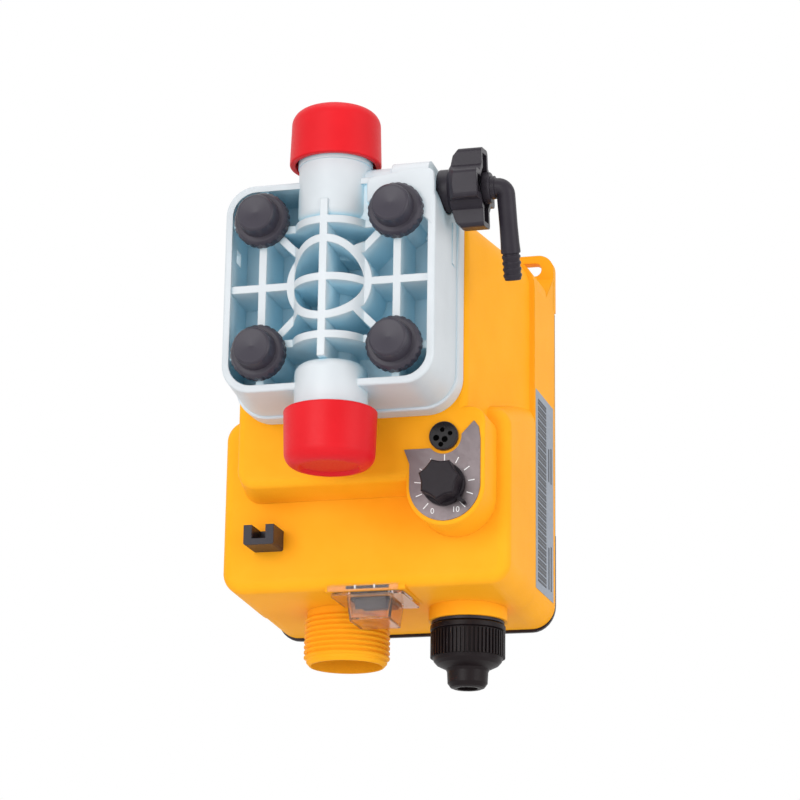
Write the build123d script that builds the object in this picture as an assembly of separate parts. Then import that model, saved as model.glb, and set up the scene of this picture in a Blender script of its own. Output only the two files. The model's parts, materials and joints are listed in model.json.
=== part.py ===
from build123d import *
import math
import os

# Solenoid-driven diaphragm metering pump for wall mounting.
# Frame: millimetres, +X to the right, +Y towards the wall, +Z up. The origin is the point of
# the wall face on the pump axis. "Depth" is the distance from the wall, so y = -depth.

os.makedirs("parts", exist_ok=True)

# ---------------------------------------------------------------- driving dimensions
WALL = 2.8                  # moulded wall thickness of the casing
CLEAR = 0.3                 # gap between parts that only lie side by side
RUN = 0.05                  # radial running clearance
COVER_T = 2.0               # rear cover thickness
GASKET_T = 0.8              # squeezed thickness of the cover seal
GASKET_W = 1.2

CASE_HALF = 51.5            # half width of the casing at the wall
CASE_LOW = -93.9            # underside of the casing at the wall
CASE_TOP = 36.0             # top of the casing at the wall
CASE_DRAFT = 1.7            # draft of the casing's underside and top, degrees
SIDE_DRAFT = 1.0            # draft of its side walls, degrees
BASE_DEPTH = 34.0           # front of the base box
BASE_R_LOW = 8.5            # lower corner radius of the base box
BASE_R_TOP = 12.0           # upper corner radius of the base box
LOWER_DEPTH = 72.0          # front of the lower box
LOWER_TOP_BACK = -19.0      # shoulder of the lower box where it leaves the base box
LOWER_TOP_FRONT = -31.5     # shoulder of the lower box at its front
LOWER_R = 7.5               # corner radius of the lower box
LOWER_EDGE_R = 4.0          # rounding of the lower box's front edges

TOWER_DEPTH = 90.0          # front face of the tower that carries the pump head
TOWER_HALF = 39.5           # half width of the tower at its front
TOWER_HALF_BACK = 49.6      # half width of the tower at the base box
TOWER_LOW = -60.0
TOWER_LOW_BACK = -64.0
TOWER_TOP = 35.0
TOWER_R_TOP = 12.0
TOWER_R_LOW = 6.5
TOWER_EDGE_R = 3.0

EAR_T = 4.0                 # wall ear thickness
EAR_IN = 32.5               # inner edge of the ear, from the centre line
EAR_TOP = 45.5
EAR_R = 5.8
SLOT_X = 41.0               # centre of the wall slot, from the centre line
SLOT_Z = 40.0
SLOT_LEN = 12.0
SLOT_W = 5.0
GUSSET_DEPTH = 17.0         # run of the sloped gusset below the ear
GUSSET_Z = 23.8
BACK_LOW = 24.0             # lower edge of the moulded strip that joins the ears

SCREW_X = 23.0              # half spacing of the pump head screws
SCREW_R = 2.5
SCREW_HEAD_R = 4.25
SCREW_HEAD_H = 5.0
SCREW_BOSS_R = 5.4          # bosses inside the tower
SCREW_GRIP = 18.0           # depth of the screws in the tower

# pump head
PLATE_T = 7.0               # head back plate thickness
PLATE_HALF = 38.6
PLATE_R = 12.0
HEAD_DEEP = 23.0            # the head stands this far in front of its plate
HEAD_BACK = TOWER_DEPTH + PLATE_T
HEAD_FRONT = HEAD_BACK + HEAD_DEEP
HEAD_HALF_BACK = 37.7
HEAD_HALF = 36.0
HEAD_R = 10.0
RIM_T = 2.4                 # head rim wall
FLOOR_T = 3.0               # head floor
RIB_T = 2.6
RIB_SINK = 1.2              # the flat ribs end this far behind the rim
RIB_FRONT = HEAD_FRONT - RIB_SINK
RIB_Z = 19.8                # height of the two cross ribs
RING_R = 14.6               # centre ring
RING_IN_R = 11.9
VALVE_OFFSET = 17.0         # axis of the two valve necks, from the head's back face
VALVE_DEPTH = HEAD_BACK + VALVE_OFFSET
NECK_R = 12.1
NECK_END = 57.8             # end of each neck, above and below the axis
NECK_ROOT = 27.0            # inner end of the lower neck
NECK_ROOT_TOP = 21.2        # inner end of the upper neck
NECK_ROUND = 3.5
NECK_STEP = 0.35            # small shoulder below the thread
CROWN_R = 12.9              # ribs wrap round the necks on this radius
THREAD_R = 13.2             # connection thread on the necks
THREAD_LEN = 12.0
THREAD_PITCH = 1.814
BORE_R = 7.0                # valve bore in the neck
BORE_DEEP = 22.0
CHANNEL_R = 2.2             # liquid channel
PORT_IN = 13.0              # height of the discharge channel's mouth in the chamber
FLOW_TUBE_R = 5.4           # moulded tube round the channel
FLOW_TUBE_OFFSET = 8.6
FLOW_TUBE_DEPTH = HEAD_BACK + FLOW_TUBE_OFFSET
FLOW_TOP = 10.8             # inner end of the upper tube
FLOW_LOW = -1.2             # inner end of the lower tube
SIDE_SLOT_Z = 13.9          # height of the vent slot in the rim side
SIDE_SLOT_H = 4.8
SIDE_SLOT_SINK = 6.1        # front of the slot, behind the rim
SIDE_SLOT_LEN = 5.8
SIDE_SLOT_FRONT = HEAD_FRONT - SIDE_SLOT_SINK
SIDE_SLOT_BACK = SIDE_SLOT_FRONT - SIDE_SLOT_LEN

CAP_R = 15.4                # red valve cap, at its open rim
CAP_TOP_R = 14.8            # and at its closed end
CAP_H = 19.1
CAP_RIM = 42.5              # open rim of the cap, from the axis
CAP_WALL = 1.7
CAP_ROUND = 4.8
CAP_DISH_R = 10.2
CAP_DISH = 1.0

PLUG_RING_R = 9.3           # screw cap
PLUG_RING_H = 5.0           # height of its ring above the ribs
PLUG_RING_FRONT = RIB_FRONT + PLUG_RING_H
PLUG_KNOB_R = 6.8
PLUG_FACE_R = 5.7
PLUG_H = 10.8
PLUG_FRONT = RIB_FRONT + PLUG_H
PLUG_FLUTES = 24

# bleed valve on the side arm
ARM_OFFSET = 11.0           # axis of the bleed valve, from the head's back face
ARM_DEPTH = HEAD_BACK + ARM_OFFSET
ARM_Z = 33.2
ARM_R = 7.2                 # top of the arm above its axis
ARM_END_R = 8.6             # top of its thicker end
ARM_LOW = 21.0
ARM_ROUND = 5.0
ARM_STEP = 20.5
ARM_END = 33.2
KNOB_START = 34.7
HUB_R = 7.2
HUB_END = 38.6
BLEED_R = 13.3              # tip radius of the knob's lobes
BLEED_LOBES = 4
BLEED_LOBE_W = 9.6
BLEED_END = 50.1
BLEED_FIRST = 10.0          # angle of the first lobe from +Z towards the front, degrees
NEEDLE_R = 3.9
STUB_R = 5.2
STUB_END = 53.7
ELBOW_X = 56.7              # centre line of the barbed leg
ELBOW_R = 3.2
ELBOW_LEG = 32.0
ELBOW_BACK = 23.0           # the leg hangs back towards the wall by this angle
ELBOW_BORE = 1.6
BARB_R = 3.45
BARB_COUNT = 4
BARB_PITCH = 2.4

# controls
BOSS_X = 32.6               # centre line of the control boss
BOSS_R = 13.4
BOSS_CORNER_R = 5.0
BOSS_EDGE_R = 1.2
DOSE_Z = -62.8              # axis of the dose knob
BOSS_TOP = -36.0
PANEL_R = 12.0
PANEL_T = 0.5
DOSE_R = 8.3
DOSE_H = 8.6
DOSE_FLUTES = 8
DOSE_MAX_DEG = 48.0         # pointer angle below the right-hand horizontal at full dose
SOCKET_X = 32.3
SOCKET_Z = -46.2
SOCKET_R = 4.9
POT_R = 8.0
POT_DEEP = 11.4
SHAFT_R = 3.0

# underside
PORT_X = -15.6
PORT_DEPTH = 35.0
PORT_R = 15.0               # crest radius of the threaded port
PORT_BORE_R = 12.5
PORT_END = -111.5
PORT_NECK_R = 14.1
GLAND_X = 27.6
GLAND_DEPTH = 35.0
GLAND_R = 13.0
GLAND_BOSS_R = 13.6
GLAND_BOSS_LOW = -97.4
GLAND_BODY_R = 10.0
GLAND_SHOULDER = -113.0
GLAND_END = -120.6
GLAND_SNOUT_R = 7.1
CABLE_R = 3.6
GLAND_RIBS = 56

SWITCH_X = 0.4
SWITCH_OFFSET = 21.6        # centre of the switch, in front of the port
SWITCH_DEPTH = PORT_DEPTH + SWITCH_OFFSET
SWITCH_PAD = -92.6          # flat pad round the switch
COVER_W = 25.6              # flange of the clear switch cover
COVER_D = 25.4
COVER_FLANGE_T = 1.2
DOME_W = 16.8
DOME_D = 19.4
DOME_LOW = -101.4
DOME_WALL = 1.0
DOME_TAPER = 8.0
FRAME_W = 14.4
FRAME_D = 16.2
HOLE_W = 13.0
HOLE_D = 15.0
ROCKER_W = 11.4
ROCKER_D = 13.0
ROCKER_TILT = 9.0

CLIP_X = -33.4
CLIP_W = 10.6
CLIP_TOP = -71.3
CLIP_LOW = -78.2
CLIP_REACH = 11.4           # the clip stands out this far
CLIP_FRONT = LOWER_DEPTH + CLIP_REACH
CLIP_ARM = 2.9
CLIP_FLOOR = 2.2

# solenoid drive, all on the pump axis
ROD_R = 4.0
DIAPHRAGM_R = 25.0
DIAPHRAGM_T = 2.5
FLEX_R = 15.0               # free part of the diaphragm
STROKE = 1.25
AIR_GAP = 1.6               # armature to pole at rest
ARMATURE_R = 11.0
ARMATURE_LEN = 16.5
POLE_LEN = 14.0
COIL_R = 18.0
YOKE_T = 4.0
YOKE_HALF_W = 16.0
COIL_LEN = 36.0
BUMPER_T = 4.0
BUSH_R = 5.6

# electronics
BOARD_DEPTH = 24.0
BOARD_T = 1.6
BOARD_HALF_W = 38.0
BOARD_LOW = -80.0
BOARD_TOP = -34.0
POST_R = 3.4
POST_HOLE_R = 1.3
CONTROL_BOARD_W = 17.0


# ---------------------------------------------------------------- helpers
def at_depth(depth):
    """Plane parallel to the wall, facing the front, with local x = X and local y = Z."""
    return Plane.XZ.offset(depth)


def block(x_low, x_high, d_back, d_front, z_low, z_high):
    centre = ((x_low + x_high) / 2, -(d_back + d_front) / 2, (z_low + z_high) / 2)
    return Pos(*centre) * Box(x_high - x_low, d_front - d_back, z_high - z_low)


def rod_y(radius, d_back, d_front, x=0.0, z=0.0):
    centre = Pos(x, -(d_back + d_front) / 2, z)
    return centre * Rot(90, 0, 0) * Cylinder(radius, d_front - d_back)


def rod_z(radius, z_low, z_high, x=0.0, depth=0.0):
    return Pos(x, -depth, (z_low + z_high) / 2) * Cylinder(radius, z_high - z_low)


def rod_x(radius, x_low, x_high, depth, z):
    return Pos((x_low + x_high) / 2, -depth, z) * Rot(0, 90, 0) * Cylinder(radius, x_high - x_low)


def tube_y(outer, inner, d_back, d_front, x=0.0, z=0.0):
    return rod_y(outer, d_back, d_front, x, z) - rod_y(inner, d_back, d_front, x, z)


def tube_z(outer, inner, z_low, z_high, x, depth):
    return rod_z(outer, z_low, z_high, x, depth) - rod_z(inner, z_low, z_high, x, depth)


def o_ring(axis_plane, radius, cord):
    return axis_plane * Torus(radius, cord / 2)


def spun_z(points, x, depth):
    """Solid of revolution about a vertical axis, from (radius, z) points."""
    face = make_face(Plane.XZ * Polyline(*points, close=True))
    return Pos(x, -depth, 0) * revolve(face, Axis.Z)


def hexagon_z(across_flats, bore, z_low, z_high, x, depth):
    outline = RegularPolygon(across_flats / 2, 6, major_radius=False) - Circle(bore)
    return Pos(x, -depth, z_low) * extrude(outline, z_high - z_low)


def round_corners(half, z_low, z_high, r_top, r_low, depth):
    """Section parallel to the wall, with its own radius at the upper and lower corners."""
    outline = Pos(0, (z_low + z_high) / 2) * Rectangle(2 * half, z_high - z_low)
    corners = outline.vertices().sort_by(Axis.Y)
    outline = fillet(corners[:2], r_low)
    corners = [v for v in outline.vertices() if abs(v.Y - z_high) < 0.001 and abs(abs(v.X) - half) < 0.001]
    return at_depth(depth) * fillet(corners, r_top)


def both_sides(maker):
    return maker(-1) + maker(1)


def at_screws(maker):
    """Sum of one solid at each of the four pump head screws."""
    solids = [maker(sx * SCREW_X, sz * SCREW_X) for sx in (-1, 1) for sz in (-1, 1)]
    return Part() + solids


def save(name, shape):
    shape.label = name
    export_step(shape, f"parts/{name}.step")


def draft_at(depth):
    """How far the drafted underside and top have moved in at a depth."""
    return depth * math.tan(math.radians(CASE_DRAFT))


def half_at(depth):
    """Half width of the casing at a depth."""
    return CASE_HALF - depth * math.tan(math.radians(SIDE_DRAFT))


def underside(depth):
    """Height of the casing's underside at a depth."""
    return CASE_LOW + draft_at(depth)


# ---------------------------------------------------------------- casing
def base_box(inset, back, front):
    sections = []
    for depth in (back, front):
        sections.append(
            round_corners(
                half_at(depth) - inset,
                underside(depth) + inset,
                CASE_TOP - draft_at(depth) - inset,
                BASE_R_TOP - inset,
                BASE_R_LOW - inset,
                depth,
            )
        )
    return loft(sections, ruled=True)


def lower_box(inset, front):
    sections = []
    for depth, top in ((BASE_DEPTH - WALL, LOWER_TOP_BACK), (front, LOWER_TOP_FRONT)):
        sections.append(
            round_corners(
                half_at(depth) - inset,
                underside(depth) + inset,
                top - inset,
                LOWER_R - inset,
                LOWER_R - inset,
                depth,
            )
        )
    return loft(sections, ruled=True)


def tower(inset, front):
    sections = []
    for depth, half, low in (
        (BASE_DEPTH - WALL, TOWER_HALF_BACK, TOWER_LOW_BACK),
        (front, TOWER_HALF, TOWER_LOW),
    ):
        sections.append(
            round_corners(half - inset, low + inset, TOWER_TOP - inset, TOWER_R_TOP - inset,
                          TOWER_R_LOW - inset, depth)
        )
    return loft(sections, ruled=True)


def control_boss(inset, back, front):
    """Round-ended boss that carries the scale, the dose knob and the signal socket."""
    radius = BOSS_R - inset
    height = BOSS_TOP - inset - DOSE_Z
    outline = Pos(BOSS_X, DOSE_Z) * Circle(radius)
    outline += Pos(BOSS_X, DOSE_Z + height / 2) * Rectangle(2 * radius, height)
    corner = outline.vertices().sort_by(Axis.X)[-2:].sort_by(Axis.Y)[-1]
    outline = fillet(corner, BOSS_CORNER_R - inset)
    return extrude(at_depth(back) * outline, front - back)


def front_edges(shape, depth):
    return shape.edges().filter_by(lambda e: abs(e.center().Y + depth) < 0.01)


def wall_ear(side):
    outer = CASE_HALF
    width = outer - EAR_IN
    centre_x = side * (outer + EAR_IN) / 2
    low = CASE_TOP - BASE_R_TOP
    plate = Pos(centre_x, (EAR_TOP + low) / 2) * RectangleRounded(width, EAR_TOP - low, EAR_R)
    plate += Pos(centre_x, low + EAR_R / 2) * Rectangle(width, EAR_R)
    ear = extrude(at_depth(0) * plate, EAR_T)
    # The gusset slopes from the ear down to the side wall.
    profile = Polyline((0, GUSSET_Z), (0, CASE_TOP), (-EAR_T, CASE_TOP), (-GUSSET_DEPTH, GUSSET_Z),
                       close=True)
    width = BASE_R_TOP
    low_x = CASE_HALF - width if side > 0 else -CASE_HALF
    face = make_face(Plane.YZ.offset(low_x) * profile)
    gusset = extrude(face, width) & base_envelope()
    return ear + gusset


def base_envelope():
    """Square-cornered envelope of the base box, which trims the gussets to its draft."""
    sections = []
    for depth in (0, BASE_DEPTH):
        half = half_at(depth)
        sections.append(at_depth(depth) * Pos(0, 0) * Rectangle(2 * half, 4 * CASE_TOP))
    return loft(sections, ruled=True)


def back_strip():
    """Moulded strip between the ears, with the ledge that the rear cover closes against."""
    outline = base_box(0, 0, 2 * COVER_T)
    strip = block(-CASE_HALF, CASE_HALF, 0, 2 * COVER_T, BACK_LOW, CASE_TOP)
    ledge = block(-CASE_HALF, CASE_HALF, COVER_T, 3 * COVER_T, BACK_LOW - 3.0, BACK_LOW + 2.0)
    return (strip & outline) + (ledge & base_box(WALL / 2, COVER_T, 3 * COVER_T))


def wall_slot(side):
    outline = Pos(side * SLOT_X, SLOT_Z) * SlotOverall(SLOT_LEN, SLOT_W)
    return extrude(at_depth(-1) * outline, EAR_T + 2)


def thread_points(root_r, crest_r, z_start, z_end, pitch, bore):
    """Outline of a threaded tube as ridges of one pitch, from z_start towards z_end."""
    step = math.copysign(pitch, z_end - z_start)
    turns = int(abs(z_end - z_start) / pitch)
    points = [(bore, z_start), (root_r, z_start)]
    z = z_start
    for turn in range(turns):
        points.append((crest_r, z + step * 0.45))
        points.append((crest_r, z + step * 0.65))
        z += step
        points.append((root_r, z))
    points.append((root_r, z_end))
    points.append((bore, z_end))
    return points


def port():
    """Hollow connection port below the casing, with an outside thread."""
    top = underside(PORT_DEPTH + PORT_R) + WALL / 2
    thread_top = underside(PORT_DEPTH) - 2.0
    chamfer = 1.2
    neck = tube_z(PORT_NECK_R, PORT_BORE_R, thread_top, top, PORT_X, PORT_DEPTH)
    points = thread_points(PORT_NECK_R, PORT_R, thread_top, PORT_END + chamfer, THREAD_PITCH,
                           PORT_BORE_R)
    points = points[:-1] + [(PORT_BORE_R + 0.5, PORT_END), (PORT_BORE_R, PORT_END)]
    return neck + spun_z(points, PORT_X, PORT_DEPTH)


def housing():
    outer = fillet(front_edges(lower_box(0, LOWER_DEPTH), LOWER_DEPTH), LOWER_EDGE_R)
    outer += fillet(front_edges(tower(0, TOWER_DEPTH), TOWER_DEPTH), TOWER_EDGE_R)
    outer += base_box(0, COVER_T, BASE_DEPTH)
    boss = control_boss(0, LOWER_DEPTH - WALL, TOWER_DEPTH)
    outer += fillet(front_edges(boss, TOWER_DEPTH), BOSS_EDGE_R)
    outer += both_sides(wall_ear)
    outer += block(SWITCH_X - COVER_W / 2 - 1.2, SWITCH_X + COVER_W / 2 + 1.2,
                   SWITCH_DEPTH - COVER_D / 2 - 1.2, SWITCH_DEPTH + COVER_D / 2 + 1.2,
                   SWITCH_PAD, underside(SWITCH_DEPTH) + WALL)
    outer += rod_z(GLAND_BOSS_R, GLAND_BOSS_LOW, underside(GLAND_DEPTH) + WALL / 2, GLAND_X,
                   GLAND_DEPTH)

    inner = base_box(WALL, COVER_T, BASE_DEPTH - WALL + 0.01)
    inner += lower_box(WALL, LOWER_DEPTH - WALL)
    inner += tower(WALL, TOWER_DEPTH - YOKE_T)
    inner += control_boss(WALL, LOWER_DEPTH - 2 * WALL, TOWER_DEPTH - WALL)
    shell = outer - inner

    def screw_boss(x, z):
        return rod_y(SCREW_BOSS_R, TOWER_DEPTH - YOKE_T - 16, TOWER_DEPTH - YOKE_T, x, z)

    def cover_boss(x, z):
        return rod_y(POST_R, COVER_T, COVER_T + 16, x, z) - rod_y(POST_HOLE_R, COVER_T, COVER_T + 12, x, z)

    shell += back_strip()
    shell += at_screws(screw_boss)
    shell += Part() + [cover_boss(x, z) for x, z in cover_screw_places()]
    shell += port()
    shell -= at_screws(lambda x, z: rod_y(SCREW_R + RUN, TOWER_DEPTH - SCREW_GRIP - 2, TOWER_DEPTH, x, z))
    shell -= rod_y(ROD_R + 3, TOWER_DEPTH - YOKE_T, TOWER_DEPTH)
    shell -= both_sides(wall_slot)
    shell -= rod_z(PORT_BORE_R, PORT_END, underside(PORT_DEPTH) + 3 * WALL, PORT_X, PORT_DEPTH)
    shell -= rod_z(GLAND_BODY_R + RUN, GLAND_BOSS_LOW, underside(GLAND_DEPTH) + 2 * WALL, GLAND_X,
                   GLAND_DEPTH)
    shell -= block(SWITCH_X - HOLE_W / 2, SWITCH_X + HOLE_W / 2, SWITCH_DEPTH - HOLE_D / 2,
                   SWITCH_DEPTH + HOLE_D / 2, SWITCH_PAD, underside(SWITCH_DEPTH) + 2 * WALL)
    shell -= rod_y(SHAFT_R + 1 + RUN, TOWER_DEPTH - WALL, TOWER_DEPTH, BOSS_X, DOSE_Z)
    shell -= rod_y(SOCKET_R - 0.7 + RUN, TOWER_DEPTH - WALL, TOWER_DEPTH, SOCKET_X, SOCKET_Z)
    shell -= clip_shank(0.0)
    for x, z in yoke_screw_places():
        shell -= rod_y(1.6 + RUN, TOWER_DEPTH - YOKE_T, TOWER_DEPTH, x, z)
        shell -= rod_y(3.0 + RUN, TOWER_DEPTH - 2.2, TOWER_DEPTH, x, z)
    return shell


def cover_screw_places():
    x = CASE_HALF - WALL - POST_R + 1.0
    return [(side * x, z) for side in (-1, 1) for z in (CASE_LOW + 12, -32.0, BACK_LOW - 5.5)]


def yoke_screw_places():
    return [(sx * 12.0, sz * 12.0) for sx in (-1, 1) for sz in (-1, 1)]


# ---------------------------------------------------------------- rear cover
def rear_cover():
    section = round_corners(CASE_HALF - CLEAR, CASE_LOW + CLEAR, BACK_LOW - CLEAR, 0.6,
                            BASE_R_LOW - CLEAR, 0)
    cover = extrude(section, COVER_T)
    cover -= gasket_ring()
    for x, z in cover_screw_places():
        cover -= rod_y(1.5 + RUN, 0, COVER_T, x, z)
        cover -= rod_y(3.0, 0, 0.9, x, z)
    for x, z in board_posts():
        cover += rod_y(POST_R, COVER_T, BOARD_DEPTH, x, z)
        cover -= rod_y(POST_HOLE_R, BOARD_DEPTH - 10, BOARD_DEPTH, x, z)
    return cover


def gasket_ring():
    """Flat ring under the casing's rear edge, seated in a groove of the cover."""
    inset = (WALL - GASKET_W) / 2
    half = CASE_HALF - inset
    low = CASE_LOW + inset
    high = BACK_LOW - CLEAR - inset
    radius = BASE_R_LOW - inset
    back = COVER_T - GASKET_T
    outer = extrude(round_corners(half, low, high, 1.0, radius, back), GASKET_T)
    inner = round_corners(half - GASKET_W, low + GASKET_W, high - GASKET_W, 0.5, radius - GASKET_W, back)
    return outer - extrude(inner, GASKET_T)


def rear_cover_screws():
    solids = []
    for x, z in cover_screw_places():
        screw = rod_y(2.9, 0.1, 0.9, x, z) + rod_y(1.25, 0.9, 11.0, x, z)
        screw -= block(x - 2.0, x + 2.0, -0.5, 0.5, z - 0.35, z + 0.35)
        solids.append(screw)
    return Part() + solids


def rear_gasket():
    return gasket_ring()


# ---------------------------------------------------------------- pump head
def head_section(half, radius, depth):
    return at_depth(depth) * RectangleRounded(2 * half, 2 * half, radius)


def head_envelope():
    """Space the ribs may fill: flat in front, crowned round the valve axis."""
    reach = HEAD_HALF_BACK - 1
    back = HEAD_BACK
    flat = block(-reach, reach, back, RIB_FRONT, -reach, reach)
    return flat + rod_z(CROWN_R, -NECK_ROOT, NECK_ROOT, 0, VALVE_DEPTH)


def neck(side):
    """One valve neck: round inner end, then a threaded spigot for the hose connection."""
    end = NECK_END
    thread_start = end - THREAD_LEN
    root = NECK_ROOT_TOP if side > 0 else NECK_ROOT
    body = rod_z(NECK_R, root, thread_start, 0, VALVE_DEPTH)
    inner_end = body.edges().sort_by(Axis.Z)[0]
    body = fillet(inner_end, NECK_ROUND)
    points = thread_points(NECK_R, THREAD_R, thread_start, end - 0.6, THREAD_PITCH, 0)
    points = points[:-1] + [(NECK_R - 0.6, end), (0, end)]
    body += spun_z(points, 0, VALVE_DEPTH)
    body += rod_z(NECK_R + NECK_STEP, CAP_RIM - 1.0, thread_start, 0, VALVE_DEPTH)
    body += block(-NECK_R * 0.75, NECK_R * 0.75, HEAD_BACK, VALVE_DEPTH, NECK_ROOT + 1, HEAD_HALF)
    return body if side > 0 else mirror(body, Plane.XY)


def diagonal_rib(sx, sz, front):
    """Rib from a screw boss to the centre ring."""
    start = (RING_R + RING_IN_R) / 2 / math.sqrt(2)
    length = (SCREW_X - start) * math.sqrt(2)
    middle = (SCREW_X + start) / 2
    back = HEAD_BACK
    rib = Rot(0, -45 * sx * sz, 0) * Box(length, front - back, RIB_T)
    return Pos(sx * middle, -(front + back) / 2, sz * middle) * rib


def bleed_arm():
    """Side arm that leads from the discharge neck to the bleed valve."""
    front = RIB_FRONT - CLEAR
    arm = block(NECK_R * 0.7, ARM_STEP + 1, HEAD_BACK, front, ARM_LOW, ARM_Z + ARM_R)
    arm = fillet(arm.edges().filter_by(Axis.X).sort_by(Axis.Z)[-2:], ARM_ROUND)
    end = block(ARM_STEP, ARM_END, HEAD_BACK, front, ARM_LOW, ARM_Z + ARM_END_R)
    end = fillet(end.edges().filter_by(Axis.X).sort_by(Axis.Z)[-2:], ARM_ROUND)
    arm += end
    web = make_face(
        at_depth(TOWER_DEPTH + PLATE_T)
        * Polyline((ARM_STEP, ARM_Z), (ARM_END - 1, ARM_Z - 4), (HEAD_HALF_BACK, SCREW_X + 1),
                   (HEAD_HALF_BACK, ARM_END_R + 1), (ARM_STEP + 4, SCREW_X), close=True)
    )
    return arm + extrude(web, 5.0, dir=(0, -1, 0))


def pump_head():
    back = HEAD_BACK
    outer = loft([head_section(HEAD_HALF_BACK, HEAD_R + 1, back),
                  head_section(HEAD_HALF, HEAD_R, HEAD_FRONT)], ruled=True)
    outer = fillet(front_edges(outer, HEAD_FRONT), 0.8)
    pocket = loft([head_section(HEAD_HALF_BACK - RIM_T - 0.6, HEAD_R - 1.5, back + FLOOR_T),
                   head_section(HEAD_HALF - RIM_T, HEAD_R - 2, HEAD_FRONT)], ruled=True)
    head = outer - pocket

    reach = HEAD_HALF - RIM_T / 2
    front = VALVE_DEPTH + CROWN_R
    half_t = RIB_T / 2
    ribs = block(-half_t, half_t, back, front, -reach, reach)
    ribs += block(-reach, reach, back, front, -half_t, half_t)
    for side in (-1, 1):
        middle = side * SCREW_X
        ribs += block(middle - half_t, middle + half_t, back, front, -reach, reach)
        ribs += block(-SCREW_X, SCREW_X, back, front, side * RIB_Z - half_t, side * RIB_Z + half_t)
        for across in (-1, 1):
            inner, outer_x = sorted((across * SCREW_X, across * reach))
            ribs += block(inner, outer_x, back, front, middle - half_t, middle + half_t)
    ribs += tube_y(RING_R, RING_IN_R, back, front)
    for sx in (-1, 1):
        for sz in (-1, 1):
            ribs += diagonal_rib(sx, sz, front)
    head += ribs & head_envelope()

    for low, high in ((FLOW_TOP, NECK_ROOT + 4), (-NECK_ROOT - 4, FLOW_LOW)):
        head += rod_z(FLOW_TUBE_R, low, high, 0, FLOW_TUBE_DEPTH)
        head += block(-FLOW_TUBE_R, FLOW_TUBE_R, back, FLOW_TUBE_DEPTH, low, high)
    head += at_screws(lambda x, z: rod_y(SCREW_BOSS_R + 0.8, back, RIB_FRONT, x, z))
    head += neck(1)
    head += neck(-1)
    head += bleed_arm()

    head -= at_screws(lambda x, z: rod_y(SCREW_R + RUN, back, HEAD_FRONT, x, z))
    head -= at_screws(lambda x, z: rod_y(SCREW_HEAD_R + RUN, head_screw_seat(), HEAD_FRONT, x, z))
    for side in (-1, 1):
        port_z = PORT_IN if side > 0 else -PORT_IN / 2
        inner, outer_z = sorted((port_z, side * (NECK_END - BORE_DEEP + 1)))
        head -= rod_z(CHANNEL_R, inner, outer_z, 0, FLOW_TUBE_DEPTH)
        inner, outer_z = sorted((side * (NECK_END - BORE_DEEP), side * NECK_END))
        head -= rod_z(BORE_R, inner, outer_z, 0, VALVE_DEPTH)
        inner, outer_z = sorted((side * (NECK_END - BORE_DEEP - 3), side * (NECK_END - BORE_DEEP)))
        head -= rod_z(BORE_R - 2, inner, outer_z, 0, VALVE_DEPTH)
        head -= block(-CHANNEL_R, CHANNEL_R, FLOW_TUBE_DEPTH, VALVE_DEPTH, inner, outer_z)
        head -= rod_y(CHANNEL_R, back, FLOW_TUBE_DEPTH, 0, port_z)
        slot_x = sorted((side * (HEAD_HALF - RIM_T - 2), side * (HEAD_HALF_BACK + 1)))
        if side < 0:
            head -= block(slot_x[0], slot_x[1], SIDE_SLOT_BACK, SIDE_SLOT_FRONT,
                          SIDE_SLOT_Z - SIDE_SLOT_H / 2, SIDE_SLOT_Z + SIDE_SLOT_H / 2)
    head -= diaphragm_chamber()
    head -= rod_x(NEEDLE_R + RUN, NECK_R * 0.7 + 4, ARM_END + 2 * CLEAR, ARM_DEPTH, ARM_Z)
    head -= rod_x(1.2, 0, NECK_R * 0.7 + 5, ARM_DEPTH, ARM_Z)
    # Clearance for the bleed knob, which turns beside the corner of the head.
    head -= rod_x(HUB_R + 2 * CLEAR, ARM_END + CLEAR, HUB_END + CLEAR, ARM_DEPTH, ARM_Z)
    return head


def head_screw_seat():
    return RIB_FRONT - SCREW_HEAD_H - 0.8


def diaphragm_chamber():
    """Shallow working chamber in the back face of the head."""
    return rod_y(FLEX_R, HEAD_BACK, HEAD_BACK + STROKE + 0.4)


def head_backplate():
    plate = extrude(head_section(PLATE_HALF, PLATE_R, TOWER_DEPTH), PLATE_T)
    plate = fillet(front_edges(plate, TOWER_DEPTH + PLATE_T), 0.6)
    plate -= rod_y(FLEX_R, TOWER_DEPTH, TOWER_DEPTH + PLATE_T)
    plate -= rod_y(DIAPHRAGM_R, diaphragm_back(), TOWER_DEPTH + PLATE_T)
    plate -= at_screws(lambda x, z: rod_y(SCREW_R + RUN, TOWER_DEPTH, TOWER_DEPTH + PLATE_T, x, z))
    plate -= rod_z(1.5, -PLATE_HALF, -FLEX_R + 1, 0, TOWER_DEPTH + 2)
    return plate


def diaphragm_back():
    return TOWER_DEPTH + PLATE_T - DIAPHRAGM_T


def diaphragm():
    """Clamped disc with a thinner rolling zone round its stiff centre."""
    disc = rod_y(DIAPHRAGM_R, diaphragm_back(), TOWER_DEPTH + PLATE_T)
    groove = o_ring(Pos(0, -diaphragm_back(), 0) * Rot(90, 0, 0), FLEX_R - 2.5, 2.2)
    return disc - groove


def head_screws():
    def screw(x, z):
        seat = head_screw_seat()
        body = rod_y(SCREW_HEAD_R, seat, seat + SCREW_HEAD_H, x, z)
        body += rod_y(SCREW_R, TOWER_DEPTH - SCREW_GRIP, seat, x, z)
        socket = at_depth(seat + SCREW_HEAD_H - 2.5) * Pos(x, z) * RegularPolygon(2.3, 6)
        return body - extrude(socket, 2.5)

    return at_screws(screw)


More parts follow.
